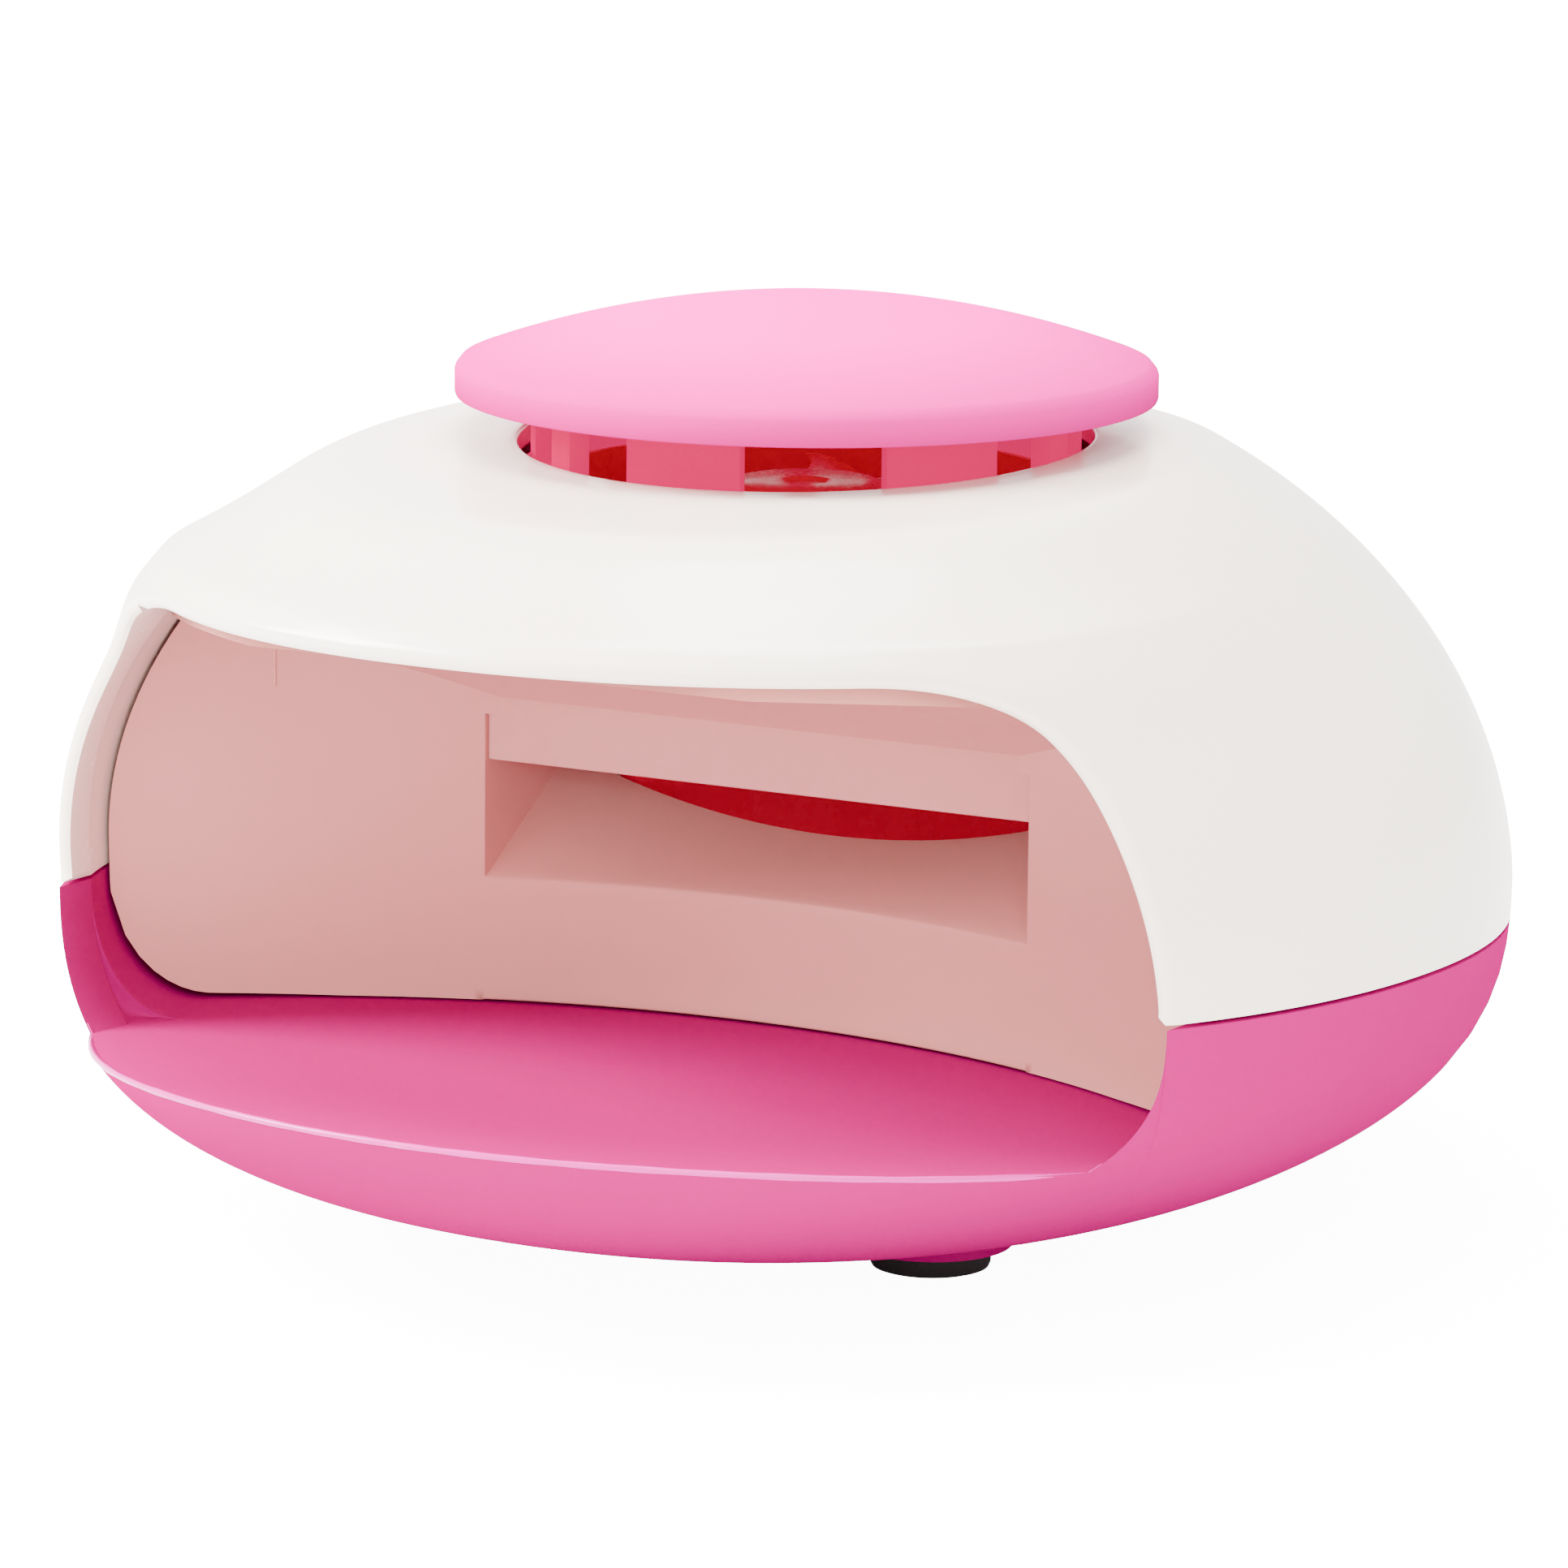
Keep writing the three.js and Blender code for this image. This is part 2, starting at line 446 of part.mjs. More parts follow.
for (const [tag, side] of [['left', -1], ['right', 1]]) {
  put(`contact_${tag}`, contact(side), LOOK.brass);
  put(`hinge_pin_${tag}`, hingePin(side), LOOK.steel);
  put(side < 0 ? 'lead_red' : 'lead_black', lead(side), side < 0 ? LOOK.red : LOOK.black);
}
footPlaces().forEach((place, k) => {
  put(`foot_${['front_right', 'front_left', 'rear_right', 'rear_left'][k]}`, foot(place), LOOK.rubber);
});
SCREWS.forEach((place, k) => {
  put(`case_screw_${['right', 'left', 'back'][k]}`, caseScrew(place), LOOK.steel);
});

export default dryer;
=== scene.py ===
import math

import bmesh
import bpy
import numpy as np
from mathutils import Matrix, Vector


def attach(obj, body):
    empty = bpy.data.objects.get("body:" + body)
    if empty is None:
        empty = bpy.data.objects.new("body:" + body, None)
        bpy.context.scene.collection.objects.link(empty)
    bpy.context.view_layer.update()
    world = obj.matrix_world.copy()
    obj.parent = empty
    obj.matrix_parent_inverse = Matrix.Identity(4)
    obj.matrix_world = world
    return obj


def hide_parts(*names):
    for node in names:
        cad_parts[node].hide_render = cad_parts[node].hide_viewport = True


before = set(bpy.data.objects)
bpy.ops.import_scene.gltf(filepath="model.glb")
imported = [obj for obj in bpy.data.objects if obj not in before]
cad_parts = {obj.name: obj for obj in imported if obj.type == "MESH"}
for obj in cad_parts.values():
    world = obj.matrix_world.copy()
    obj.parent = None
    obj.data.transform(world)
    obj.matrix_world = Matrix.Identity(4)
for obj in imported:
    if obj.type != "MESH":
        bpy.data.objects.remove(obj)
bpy.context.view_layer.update()  # frame["bodies"], ["nodes"], ["joints"], ["record"]
MM = 0.001

# ---------------------------------------------------------------- the case's shape, in millimetres
A, B, POWER = 60.0, 67.0, 2.1
Z_WIDE, UP, DOWN, DOWN_P, DOWN_Q = 29.5, 46.6, 28.0, 2.9, 2.3
Z_FLAT, WALL, CREASE, CROWN_R, LEAN = 2.8, 2.0, 0.6, 150.0, -3.0
FAN_Y, HOLE_R, DIP_R, DIP = 2.0, 24.6, 31.0, 0.5
CROWN_FRONT, CROWN_TILT, CROWN_START = 66.0, 0.0508, 63.0
MOUTH_HALF, MOUTH_Z, MOUTH_UP, MOUTH_TOP, MOUTH_CROWN = 52.6, 29.4, 41.0, 56.5, 0.4
MOUTH_DOWN, MOUTH_POWER = 20.0, 3.0
DECK_Y = np.array([-75, -62, -52, -40, -25, 2.4, 80.0])
DECK_Z = np.array([19, 18.7, 17.7, 16.7, 16, 15.8, 15.8])
PANEL_Y, PANEL_R, PANEL_TOP, CLEAR = -2.4, 78.0, 41.5, 2.4
CEIL_Y, CEIL_DEPTH, CEIL_Z, CEIL_RISE = -58.0, 54.0, 37.9, 16.7
WIN_HALF, WIN_Z, LIP_Z, LIP_TOP, LIP_Y = 26.4, 27.0, 37.4, 43.2, -6.6
CHUTE_Y, CHUTE_Z, CHUTE_R = 7.5, 31.0, 75.0


def share(z, inset=0.0):
    d = z - Z_WIDE
    high = np.sqrt(np.clip(1 - (np.maximum(d, 0) / (UP - inset)) ** 2, 0, 1))
    low = np.clip(1 - (np.maximum(-d, 0) / (DOWN - inset)) ** DOWN_P, 0, 1) ** (1 / DOWN_Q)
    return np.where(d >= 0, high, low)


def lean_at(z):
    t = np.clip((z - Z_WIDE) / 39, 0, 1)
    return LEAN * t * (2 - t)


def soft_min(a, b, k):
    h = np.clip(0.5 + 0.5 * (b - a) / k, 0, 1)
    return b + (a - b) * h - k * h * (1 - h)


def brow_at(z, s):
    t = np.clip(-s / 0.55, 0, 1)
    crest = np.sqrt((z - 58.9) ** 2 + 0.16) - 0.4
    return (2.3 * np.exp(-(((z - 56.2) / 4.6) ** 2)) + 1.3 * np.exp(-crest / 1.7)) * t * t * (3 - 2 * t)


def top_height(f, inset=0.0):
    flank = Z_WIDE + (UP - inset) * np.sqrt(np.clip(1 - f * f, 0, 1))
    crown = (Z_WIDE + UP * math.sqrt(1 - CREASE ** 2) - inset
             + ((CREASE * A) ** 2 - (f * A) ** 2) / (2 * CROWN_R))
    return soft_min(flank, crown, 0.4)


def on_case(t, z, inset=0.0, brow=False, f=None):
    """The point of the case's (inset) skin at plan angle t and height z."""
    c, s = np.cos(t), np.sin(t)
    f = share(z, inset) if f is None else f
    out = brow_at(z, s) if brow else 0.0
    e = 2 / POWER
    x = np.sign(c) * np.abs(c) ** e * (A - inset) * f + out * c
    y = np.sign(s) * np.abs(s) ** e * (B - inset) * f + out * s + lean_at(z)
    return np.stack([x, y, z + 0 * x], -1)


def angle_of(x, z, inset=0.0, brow=False):
    """Plan angle on the front half where the skin at height z is at x."""
    lo, hi = np.full(np.shape(x), -math.pi / 2), np.zeros(np.shape(x))
    for _ in range(44):
        mid = (lo + hi) / 2
        far = on_case(mid, z, inset, brow)[..., 0] > np.abs(x)
        hi, lo = np.where(far, mid, hi), np.where(far, lo, mid)
    return np.where(np.asarray(x) < 0, -math.pi - lo, lo)


# mouth outline: elliptic sides, nearly flat top, a fillet between them
def ellipse_side(z):
    return np.sqrt(np.clip(1 - ((z - MOUTH_Z) / MOUTH_UP) ** 2, 0, 1)) * MOUTH_HALF


FIL_Z, FIL_X = 51.5, 32.0
_p0 = np.array([ellipse_side(FIL_Z), FIL_Z])
_slope = (ellipse_side(FIL_Z + 0.01) - ellipse_side(FIL_Z)) / 0.01
_roof = MOUTH_TOP + MOUTH_CROWN * (1 - (FIL_X / 39.5) ** 2)
_p1 = np.array([_p0[0] + _slope * (_roof - FIL_Z), _roof])
_p2 = np.array([FIL_X, _roof])
_u = np.linspace(0, 1, 81)[:, None]
FILLET = (1 - _u) ** 2 * _p0 + 2 * _u * (1 - _u) * _p1 + _u ** 2 * _p2
CORNER = FILLET[40]


def mouth_side(z):
    below = (np.maximum(MOUTH_Z - z, 0) / MOUTH_DOWN) ** MOUTH_POWER
    low = np.clip(1 - below, 0, 1) ** (1 / MOUTH_POWER) * MOUTH_HALF
    x = np.where(z < MOUTH_Z, low, ellipse_side(z))
    return np.where(z > FIL_Z, np.interp(z, FILLET[:41, 1], FILLET[:41, 0]), x)


def mouth_roof(x):
    x = np.abs(x)
    flat = MOUTH_TOP + MOUTH_CROWN * (1 - (x / 39.5) ** 2)
    return np.where(x > FIL_X, np.interp(x, FILLET[40:, 0][::-1], FILLET[40:, 1][::-1]), flat)


HALF_GAP = 0.18                    # half the gap between the white and the pink case


def parting(y):
    return 27.0 - 0.04 * y


def deck(y):
    fine = np.linspace(-75, 80, 311)
    z = np.interp(fine, DECK_Y, DECK_Z)
    for _ in range(60):
        z[1:-1] = (z[:-2] + 2 * z[1:-1] + z[2:]) / 4
    return np.interp(y, fine, z)


def ceiling(y):
    return CEIL_Z + CEIL_RISE * np.sqrt(1 - np.clip((y - CEIL_Y) / CEIL_DEPTH, 0, 1) ** 2)


SWEEP_W, SWEEP_H = 7.5, 11.0       # sweep of the pink side wall into the deck


def panel_y(x):
    return PANEL_Y - (PANEL_R - np.sqrt(PANEL_R ** 2 - x * x))


# ---------------------------------------------------------------- mesh helpers
def add_grid(bm, points, wrap=False, skip=None):
    """Quads over rows of points; wrap closes each row."""
    rows, cols = points.shape[:2]
    verts = [[bm.verts.new(points[i, j] * MM) for j in range(cols)] for i in range(rows)]
    for i in range(rows - 1):
        for j in range(cols if wrap else cols - 1):
            if skip is not None and skip(i, j):
                continue
            k = (j + 1) % cols
            bm.faces.new((verts[i][j], verts[i][k], verts[i + 1][k], verts[i + 1][j]))
    return verts


def weld(bm, dist=2e-6):
    bmesh.ops.remove_doubles(bm, verts=bm.verts[:], dist=dist)
    loose = [v for v in bm.verts if not v.link_faces]
    bmesh.ops.delete(bm, geom=loose, context="VERTS")
    bmesh.ops.recalc_face_normals(bm, faces=bm.faces[:])


def round_edges(bm, width, choose=None, angle=40, segments=3):
    limit = math.radians(angle)
    edges = [e for e in bm.edges if len(e.link_faces) == 2 and e.calc_face_angle(0) > limit
             and (choose is None or choose((e.verts[0].co + e.verts[1].co) / 2 / MM))]
    if edges:
        bmesh.ops.bevel(bm, geom=edges, offset=width * MM, segments=segments, profile=0.5,
                        affect="EDGES", clamp_overlap=True)


def to_object(name, bm, material, smooth=32):
    mesh = bpy.data.meshes.new(name)
    bm.to_mesh(mesh)
    bm.free()
    obj = bpy.data.objects.new(name, mesh)
    bpy.context.scene.collection.objects.link(obj)
    if material is not None:
        mesh.materials.append(material)
    shade(obj, smooth)
    return obj


def shade(obj, degrees):
    mesh = obj.data
    mesh.polygons.foreach_set("use_smooth", [True] * len(mesh.polygons))
    mesh.set_sharp_from_angle(angle=math.radians(degrees))
    mesh.update()


def lathe(name, profile, centre, material, sides=128, smooth=32, closed=True):
    """A turned piece from (radius, height) points in millimetres."""
    t = np.linspace(0, 2 * math.pi, sides, endpoint=False)
    p = np.array(profile, float)
    x = centre[0] + p[:, :1] * np.cos(t)
    y = centre[1] + p[:, :1] * np.sin(t)
    z = centre[2] + p[:, 1:] + 0 * x
    bm = bmesh.new()
    add_grid(bm, np.stack([x, y, z], -1), wrap=True)
    weld(bm)
    return to_object(name, bm, material, smooth)


def block(bm, x0, x1, y0, y1, z0, z1):
    corners = [Vector((x, y, z)) * MM for z in (z0, z1) for x, y in ((x0, y0), (x1, y0), (x1, y1), (x0, y1))]
    v = [bm.verts.new(c) for c in corners]
    for f in ((0, 3, 2, 1), (4, 5, 6, 7), (0, 1, 5, 4), (1, 2, 6, 5), (2, 3, 7, 6), (3, 0, 4, 7)):
        bm.faces.new([v[k] for k in f])
    return v


def disc_bar(bm, x, y, z0, z1, r0, r1=None, sides=48):
    r1 = r0 if r1 is None else r1
    rings = []
    for r, z in ((r0, z0), (r1, z1)):
        rings.append([bm.verts.new(Vector((x + r * math.cos(2 * math.pi * k / sides),
                                           y + r * math.sin(2 * math.pi * k / sides), z)) * MM)
                      for k in range(sides)])
    for k in range(sides):
        n = (k + 1) % sides
        bm.faces.new((rings[0][k], rings[0][n], rings[1][n], rings[1][k]))
    bm.faces.new(rings[0][::-1])
    bm.faces.new(rings[1])


def boolean(obj, operation, build):
    """Joins or cuts obj with the closed mesh that build makes."""
    bm = bmesh.new()
    build(bm)
    tool = to_object("tool", bm, None)
    mod = obj.modifiers.new("solid", "BOOLEAN")
    mod.operation, mod.object, mod.solver = operation, tool, "EXACT"
    dg = bpy.context.evaluated_depsgraph_get()
    mesh = bpy.data.meshes.new_from_object(obj.evaluated_get(dg))
    obj.modifiers.clear()
    old, obj.data = obj.data, mesh
    bpy.data.meshes.remove(old)
    bpy.data.objects.remove(tool)


# ---------------------------------------------------------------- materials
def moulded(name, colour, rough, tint=(1.0, 0.97, 0.95), vary=0.05, fine=900.0, bump=0.02, coat=0.0,
            wear_and_highlight_amount=0.06, wear_and_highlight_colour=(1, 1, 1), subsurface=0.0, radius=(1, 0.5, 0.5), metallic=0.0, spec=0.5,
            glow=0.0, painted_shade_below=None):
    """Plastic, rubber or metal with flow-mark mottling, fine grain, faint scuffs and paler edges; the pale
    edges are rubbed wear, on the lip bead partly a painted highlight.
    """
    mat = bpy.data.materials.new(name)
    mat.use_nodes = True
    nodes, links = mat.node_tree.nodes, mat.node_tree.links
    shader = nodes["Principled BSDF"]
    coord = nodes.new("ShaderNodeTexCoord")

    def noise(scale, detail, rough_share=0.5):
        n = nodes.new("ShaderNodeTexNoise")
        n.inputs["Scale"].default_value = scale
        n.inputs["Detail"].default_value = detail
        n.inputs["Roughness"].default_value = rough_share
        links.new(coord.outputs["Object"], n.inputs["Vector"])
        return n

    def ramp(source, low, high, c0, c1):
        r = nodes.new("ShaderNodeValToRGB")
        r.color_ramp.elements[0].position, r.color_ramp.elements[1].position = low, high
        r.color_ramp.elements[0].color = (*c0, 1) if isinstance(c0, tuple) else (c0, c0, c0, 1)
        r.color_ramp.elements[1].color = (*c1, 1) if isinstance(c1, tuple) else (c1, c1, c1, 1)
        links.new(source, r.inputs["Fac"])
        return r

    clouds = noise(38.0, 4.0)
    grain = noise(fine, 5.0, 0.6)
    scuffs = noise(210.0, 8.0, 0.72)
    other = tuple(min(1.0, c * t) for c, t in zip(colour, tint))
    shifted = tuple(c + (o - c) * vary / 0.05 for c, o in zip(colour, other))
    body = ramp(clouds.outputs["Fac"], 0.3, 0.7, colour, shifted)
    if painted_shade_below:  # painted shade: the colour darkens below a height, as (dark colour, low z, high z)
        split = nodes.new("ShaderNodeSeparateXYZ")
        links.new(coord.outputs["Object"], split.inputs["Vector"])
        height = nodes.new("ShaderNodeMapRange")
        height.inputs["From Min"].default_value, height.inputs["From Max"].default_value = painted_shade_below[1], painted_shade_below[2]
        links.new(split.outputs["Z"], height.inputs["Value"])
        blend = nodes.new("ShaderNodeMix")
        blend.data_type = "RGBA"
        links.new(height.outputs["Result"], blend.inputs["Factor"])
        blend.inputs["A"].default_value = (*painted_shade_below[0], 1)
        links.new(body.outputs["Color"], blend.inputs["B"])
        body = blend
    # paler edges: rubbed wear, and on the lip bead partly a painted highlight
    edge = nodes.new("ShaderNodeNewGeometry")
    edge_mask = ramp(edge.outputs["Pointiness"], 0.60, 0.72, 0.0, wear_and_highlight_amount)
    scuff_mask = ramp(scuffs.outputs["Fac"], 0.35, 0.62, 0.0, 1.0)
    wear_and_highlight_mask = nodes.new("ShaderNodeMath")
    wear_and_highlight_mask.operation = "MULTIPLY"
    links.new(edge_mask.outputs["Color"], wear_and_highlight_mask.inputs[0])
    links.new(scuff_mask.outputs["Color"], wear_and_highlight_mask.inputs[1])
    mix = nodes.new("ShaderNodeMix")
    mix.data_type = "RGBA"
    links.new(wear_and_highlight_mask.outputs[0], mix.inputs["Factor"])
    links.new(body.outputs["Result" if painted_shade_below else "Color"], mix.inputs["A"])
    mix.inputs["B"].default_value = (*wear_and_highlight_colour, 1)
    links.new(mix.outputs["Result"], shader.inputs["Base Color"])
    gloss = ramp(scuffs.outputs["Fac"], 0.3, 0.75, rough * 0.86, min(1.0, rough * 1.25))
    links.new(gloss.outputs["Color"], shader.inputs["Roughness"])
    bumps = nodes.new("ShaderNodeBump")
    bumps.inputs["Strength"].default_value = bump
    bumps.inputs["Distance"].default_value = 0.0002
    links.new(grain.outputs["Fac"], bumps.inputs["Height"])
    links.new(bumps.outputs["Normal"], shader.inputs["Normal"])
    shader.inputs["Metallic"].default_value = metallic
    shader.inputs["Specular IOR Level"].default_value = spec
    shader.inputs["Coat Weight"].default_value = coat
    shader.inputs["Coat Roughness"].default_value = 0.08
    if subsurface:
        shader.inputs["Subsurface Weight"].default_value = subsurface
        shader.inputs["Subsurface Radius"].default_value = radius
        shader.inputs["Subsurface Scale"].default_value = 0.003
    # painted light: emission makes the part glow though it is no lamp
    if glow:
        shader.inputs["Emission Color"].default_value = (*colour, 1)
        shader.inputs["Emission Strength"].default_value = glow
    return mat


MAT = {
    "white": moulded("white_case", (0.80, 0.71, 0.61), 0.24, coat=0.1, wear_and_highlight_amount=0.1),
    # the white panel is tinted darker and pinker: painted shade of its recess and a painted reflection of the
    # pink deck
    "panel": moulded("white_panel", (0.55, 0.225, 0.205), 0.34, fine=1500.0, bump=0.05, wear_and_highlight_amount=0.06, spec=0.06),
    "pink": moulded("pink_case", (0.29, 0.0, 0.095), 0.3, tint=(1.04, 1.0, 1.04), wear_and_highlight_amount=0.0,
                    wear_and_highlight_colour=(0.5, 0.05, 0.22), spec=0.0),
    # the lip bead is a lighter pink with pale edges: a painted highlight line along the deck's front edge,
    # partly real rubbed wear
    "bead": moulded("pink_bead_highlight_and_wear", (0.50, 0.01, 0.24), 0.25, tint=(1.04, 1.0, 1.04), wear_and_highlight_amount=0.6,
                    wear_and_highlight_colour=(0.7, 0.3, 0.5), spec=0.3),
    # the cap darkens towards its lower rim: painted shade on the vertical rim
    "cap": moulded("pink_cap", (0.80, 0.0, 0.30), 0.24, tint=(1.0, 1.0, 1.04), wear_and_highlight_amount=0.1,
                   wear_and_highlight_colour=(0.8, 0.02, 0.4), spec=0.0, painted_shade_below=((0.34, 0.0, 0.12), 0.0702, 0.0772)),
    # the glow is painted light that brightens the dim inside of the air duct
    "crimson": moulded("crimson_air", (0.72, 0.006, 0.05), 0.26, tint=(0.95, 1.0, 0.9), wear_and_highlight_amount=0.2,
                       wear_and_highlight_colour=(0.8, 0.06, 0.07), spec=0.1, glow=0.12),
    # the glow is painted light standing in for light through the translucent vent ring
    "magenta": moulded("magenta_vent", (0.18, 0.0, 0.026), 0.3, tint=(0.98, 1.0, 0.8), wear_and_highlight_amount=0.2,
                       wear_and_highlight_colour=(0.3, 0.005, 0.03), spec=0.0, glow=5.0),
    "rubber": moulded("rubber", (0.012, 0.009, 0.009), 0.55, fine=2400.0, bump=0.25, wear_and_highlight_amount=0.5,
                      wear_and_highlight_colour=(0.03, 0.028, 0.028), spec=0.2),
    "steel": moulded("steel", (0.55, 0.56, 0.57), 0.3, metallic=1.0, wear_and_highlight_amount=0.4),
    "brass": moulded("brass", (0.60, 0.42, 0.16), 0.34, metallic=1.0, wear_and_highlight_amount=0.4,
                     wear_and_highlight_colour=(0.9, 0.75, 0.45)),
    "black": moulded("black_plastic", (0.010, 0.010, 0.011), 0.42, wear_and_highlight_amount=0.4, wear_and_highlight_colour=(0.08, 0.08, 0.08)),
    "red": moulded("red_plastic", (0.25, 0.006, 0.006), 0.4, wear_and_highlight_amount=0.3),
    "jacket": moulded("cell_jacket", (0.02, 0.07, 0.03), 0.3, tint=(1.2, 1.1, 1.1), wear_and_highlight_amount=0.3),
}


# ---------------------------------------------------------------- white upper case
MOUTH_ROUND, MOUTH_STEPS = 1.1, np.array([0, 0.06, 0.16, 0.3, 0.48, 0.68, 0.88, 1.1, 1.5])


def skin_normal(t, z, brow):
    d = 1e-3
    along = on_case(t + d, z, 0, brow) - on_case(t - d, z, 0, brow)
    rise = on_case(t, z + d, 0, brow) - on_case(t, z - d, 0, brow)
    n = np.cross(along, rise)
    return n / np.linalg.norm(n, axis=-1, keepdims=True)


def intake_dip(points, inset):
    """The crown is flattened to a slightly tilted plane and dished around the intake hole."""
    r = np.hypot(points[..., 0], points[..., 1] - FAN_Y)
    k = np.clip((DIP_R - r) / (DIP_R - HOLE_R), 0, 1)
    plane = CROWN_FRONT + CROWN_TILT * (points[..., 1] + 29.5) - inset
    out = points.copy()
    out[..., 2] = soft_min(out[..., 2], plane, 2.0) - DIP * k * k * (3 - 2 * k)
    return out


def upper_case():
    n_back, n_front = 190, 84

    def skin(inset, brow):
        z_corner = CORNER[1]
        v = np.linspace(0, 1, 60)
        z_edge0 = np.full(1, 28.0)
        for _ in range(8):
            t0 = angle_of(mouth_side(z_edge0), z_edge0, inset, brow)
            z_edge0 = parting(on_case(t0, z_edge0, inset, brow)[..., 1]) + HALF_GAP
        # bottom row on the tilted parting plane
        near = MOUTH_STEPS * 0.0135
        inner = np.linspace(0, 1, n_back + 1)

        def columns(t_edge):
            a = t_edge + near
            b = math.pi - t_edge - near[::-1]
            return np.concatenate([a, a[-1] + (b[0] - a[-1]) * inner[1:-1], b])

        t_bottom = columns(t0)
        z_bottom = np.full_like(t_bottom, 27.0)
        for _ in range(8):
            z_bottom = parting(on_case(t_bottom, z_bottom, inset, brow)[:, 1]) + HALF_GAP
        rows, normals = [], []
        for k in v:
            z_edge = z_edge0 + (z_corner - z_edge0) * k
            t_edge = angle_of(mouth_side(z_edge), z_edge, inset, brow)
            t = columns(t_edge)
            z = z_bottom + (z_corner - z_bottom) * k
            rows.append(on_case(t, z, inset, brow))
            normals.append(skin_normal(t, z, brow))
        lower, lower_n = np.array(rows), np.array(normals)
        t_back = t
        x_front = CORNER[0] * np.cos(np.linspace(0, math.pi, n_front + 1))[1:-1]
        x_front = 0.5 * x_front + 0.5 * np.linspace(CORNER[0], -CORNER[0], n_front + 1)[1:-1]
        z_front = mouth_roof(x_front)
        t_front = angle_of(x_front, z_front, inset, brow)
        t_all = np.concatenate([t_back, t_front[::-1] + 2 * math.pi])
        rise = np.concatenate([0 * t_back, z_front[::-1] - z_corner])
        rows, normals = [], []
        edge_rows = z_corner + MOUTH_STEPS * 0.72
        levels = np.concatenate([edge_rows, np.linspace(edge_rows[-1], CROWN_START, 32)[1:]])
        for z in levels:
            fade = np.clip((CROWN_START - z) / (CROWN_START - z_corner), 0, 1)
            rows.append(on_case(t_all, z + rise * fade, inset, brow))
            normals.append(skin_normal(t_all, z + rise * fade, brow))
        n_soft = len(rows)
        f0 = float(share(np.array(CROWN_START), inset))
        for f in np.concatenate([np.linspace(f0, 0.63, 8)[1:], np.linspace(0.62, 0.58, 7)]):
            z = top_height(np.full_like(t_all, f), inset)
            rows.append(on_case(t_all, z, inset, brow, f=f))
        last = rows[-1]
        way = np.arctan2(last[:, 1] - FAN_Y, last[:, 0])
        rim = np.stack([HOLE_R * np.cos(way), FAN_Y + HOLE_R * np.sin(way)], -1)
        for k in np.linspace(0, 1, 16)[1:]:
            plan = last[:, :2] + (rim - last[:, :2]) * k
            f = (np.abs(plan[:, 0] / A) ** POWER + np.abs((plan[:, 1] - LEAN) / B) ** POWER) ** (1 / POWER)
            rows.append(np.column_stack([plan, top_height(f, inset)]))
        upper = np.array(rows)
        if brow:
            soft = upper[:n_soft]
            rim_line = np.concatenate([lower[:, 0], soft[0][len(t_back):][::-1], lower[:, -1]])
            for points, n in ((lower, lower_n), (soft, np.array(normals))):
                flat = points.reshape(-1, 3)
                close = np.flatnonzero((flat[:, 1] < -12) & (flat[:, 2] < 60.5))
                gaps = rim_line[1:] - rim_line[:-1]
                fine = np.concatenate([rim_line[:-1] + gaps * k for k in (0, 0.25, 0.5, 0.75)])
                fine = fine[np.linalg.norm(np.roll(fine, 1, 0) - fine, axis=1) < 5]
                dist = np.full(len(flat), 99.0)
                for part in np.array_split(close, 40):
                    dist[part] = np.linalg.norm(flat[part][:, None] - fine[None], axis=2).min(1)
                d = np.clip(dist, 0, MOUTH_ROUND)
                drop = MOUTH_ROUND - np.sqrt(np.maximum(MOUTH_ROUND ** 2 - (MOUTH_ROUND - d) ** 2, 0))
                flat -= n.reshape(-1, 3) * drop[:, None]
        return lower, intake_dip(upper, inset)

    bm = bmesh.new()
    out_low, out_high = skin(0.0, True)
    in_low, in_high = skin(WALL, False)
    add_grid(bm, out_low)
    add_grid(bm, in_low)
    add_grid(bm, out_high, wrap=True)
    add_grid(bm, in_high, wrap=True)
    add_grid(bm, np.array([out_low[0], in_low[0]]))
    add_grid(bm, np.array([out_low[:, 0], in_low[:, 0]]))
    add_grid(bm, np.array([out_low[:, -1], in_low[:, -1]]))
    n = out_low.shape[1] - 1
    front = np.concatenate([np.arange(n, out_high.shape[1]), [0]])
    add_grid(bm, np.array([out_high[0][front], in_high[0][front]]))
    add_grid(bm, np.array([out_high[-1], in_high[-1]]), wrap=True)
    weld(bm)
    round_edges(bm, 0.16, lambda p: abs(p.z - parting(p.y)) < 0.8 and p.z < 33)
    round_edges(bm, 0.35, lambda p: p.z > 60, angle=40)
    return to_object("upper_case", bm, MAT["white"])


# ---------------------------------------------------------------- pink lower case with the dished deck
def lip_bead(line):
    """Thin moulded bead along the deck's front edge, in a lighter pink that paints the highlight line on the
    lip, partly real rubbed wear.
    """
    line = line * [0.9965, 0.9965, 1] + [0, 0, -0.06]
    along = np.gradient(line, axis=0)
    along /= np.linalg.norm(along, axis=1, keepdims=True)
    side = np.cross(along, [0, 0, 1.0])
    side /= np.linalg.norm(side, axis=1, keepdims=True)
    rise = np.cross(side, along)
    k = np.linspace(0, 1, len(line))
    r = 0.27 * np.clip(np.minimum(k, 1 - k) / 0.05, 0.12, 1) * (1 + 0.1 * np.sin(37 * k) * np.sin(91 * k))
    t = np.linspace(0, 2 * math.pi, 12, endpoint=False)[:, None, None]
    rings = line[None] + (np.cos(t) * side[None] + np.sin(t) * rise[None]) * r[None, :, None]
    rings = rings.transpose(1, 0, 2)
    bm = bmesh.new()
    verts = add_grid(bm, rings, wrap=True)
    bm.faces.new(verts[0][::-1])
    bm.faces.new(verts[-1])
    weld(bm)
    BEADS.append(to_object("lip_bead", bm, MAT["bead"], smooth=60))


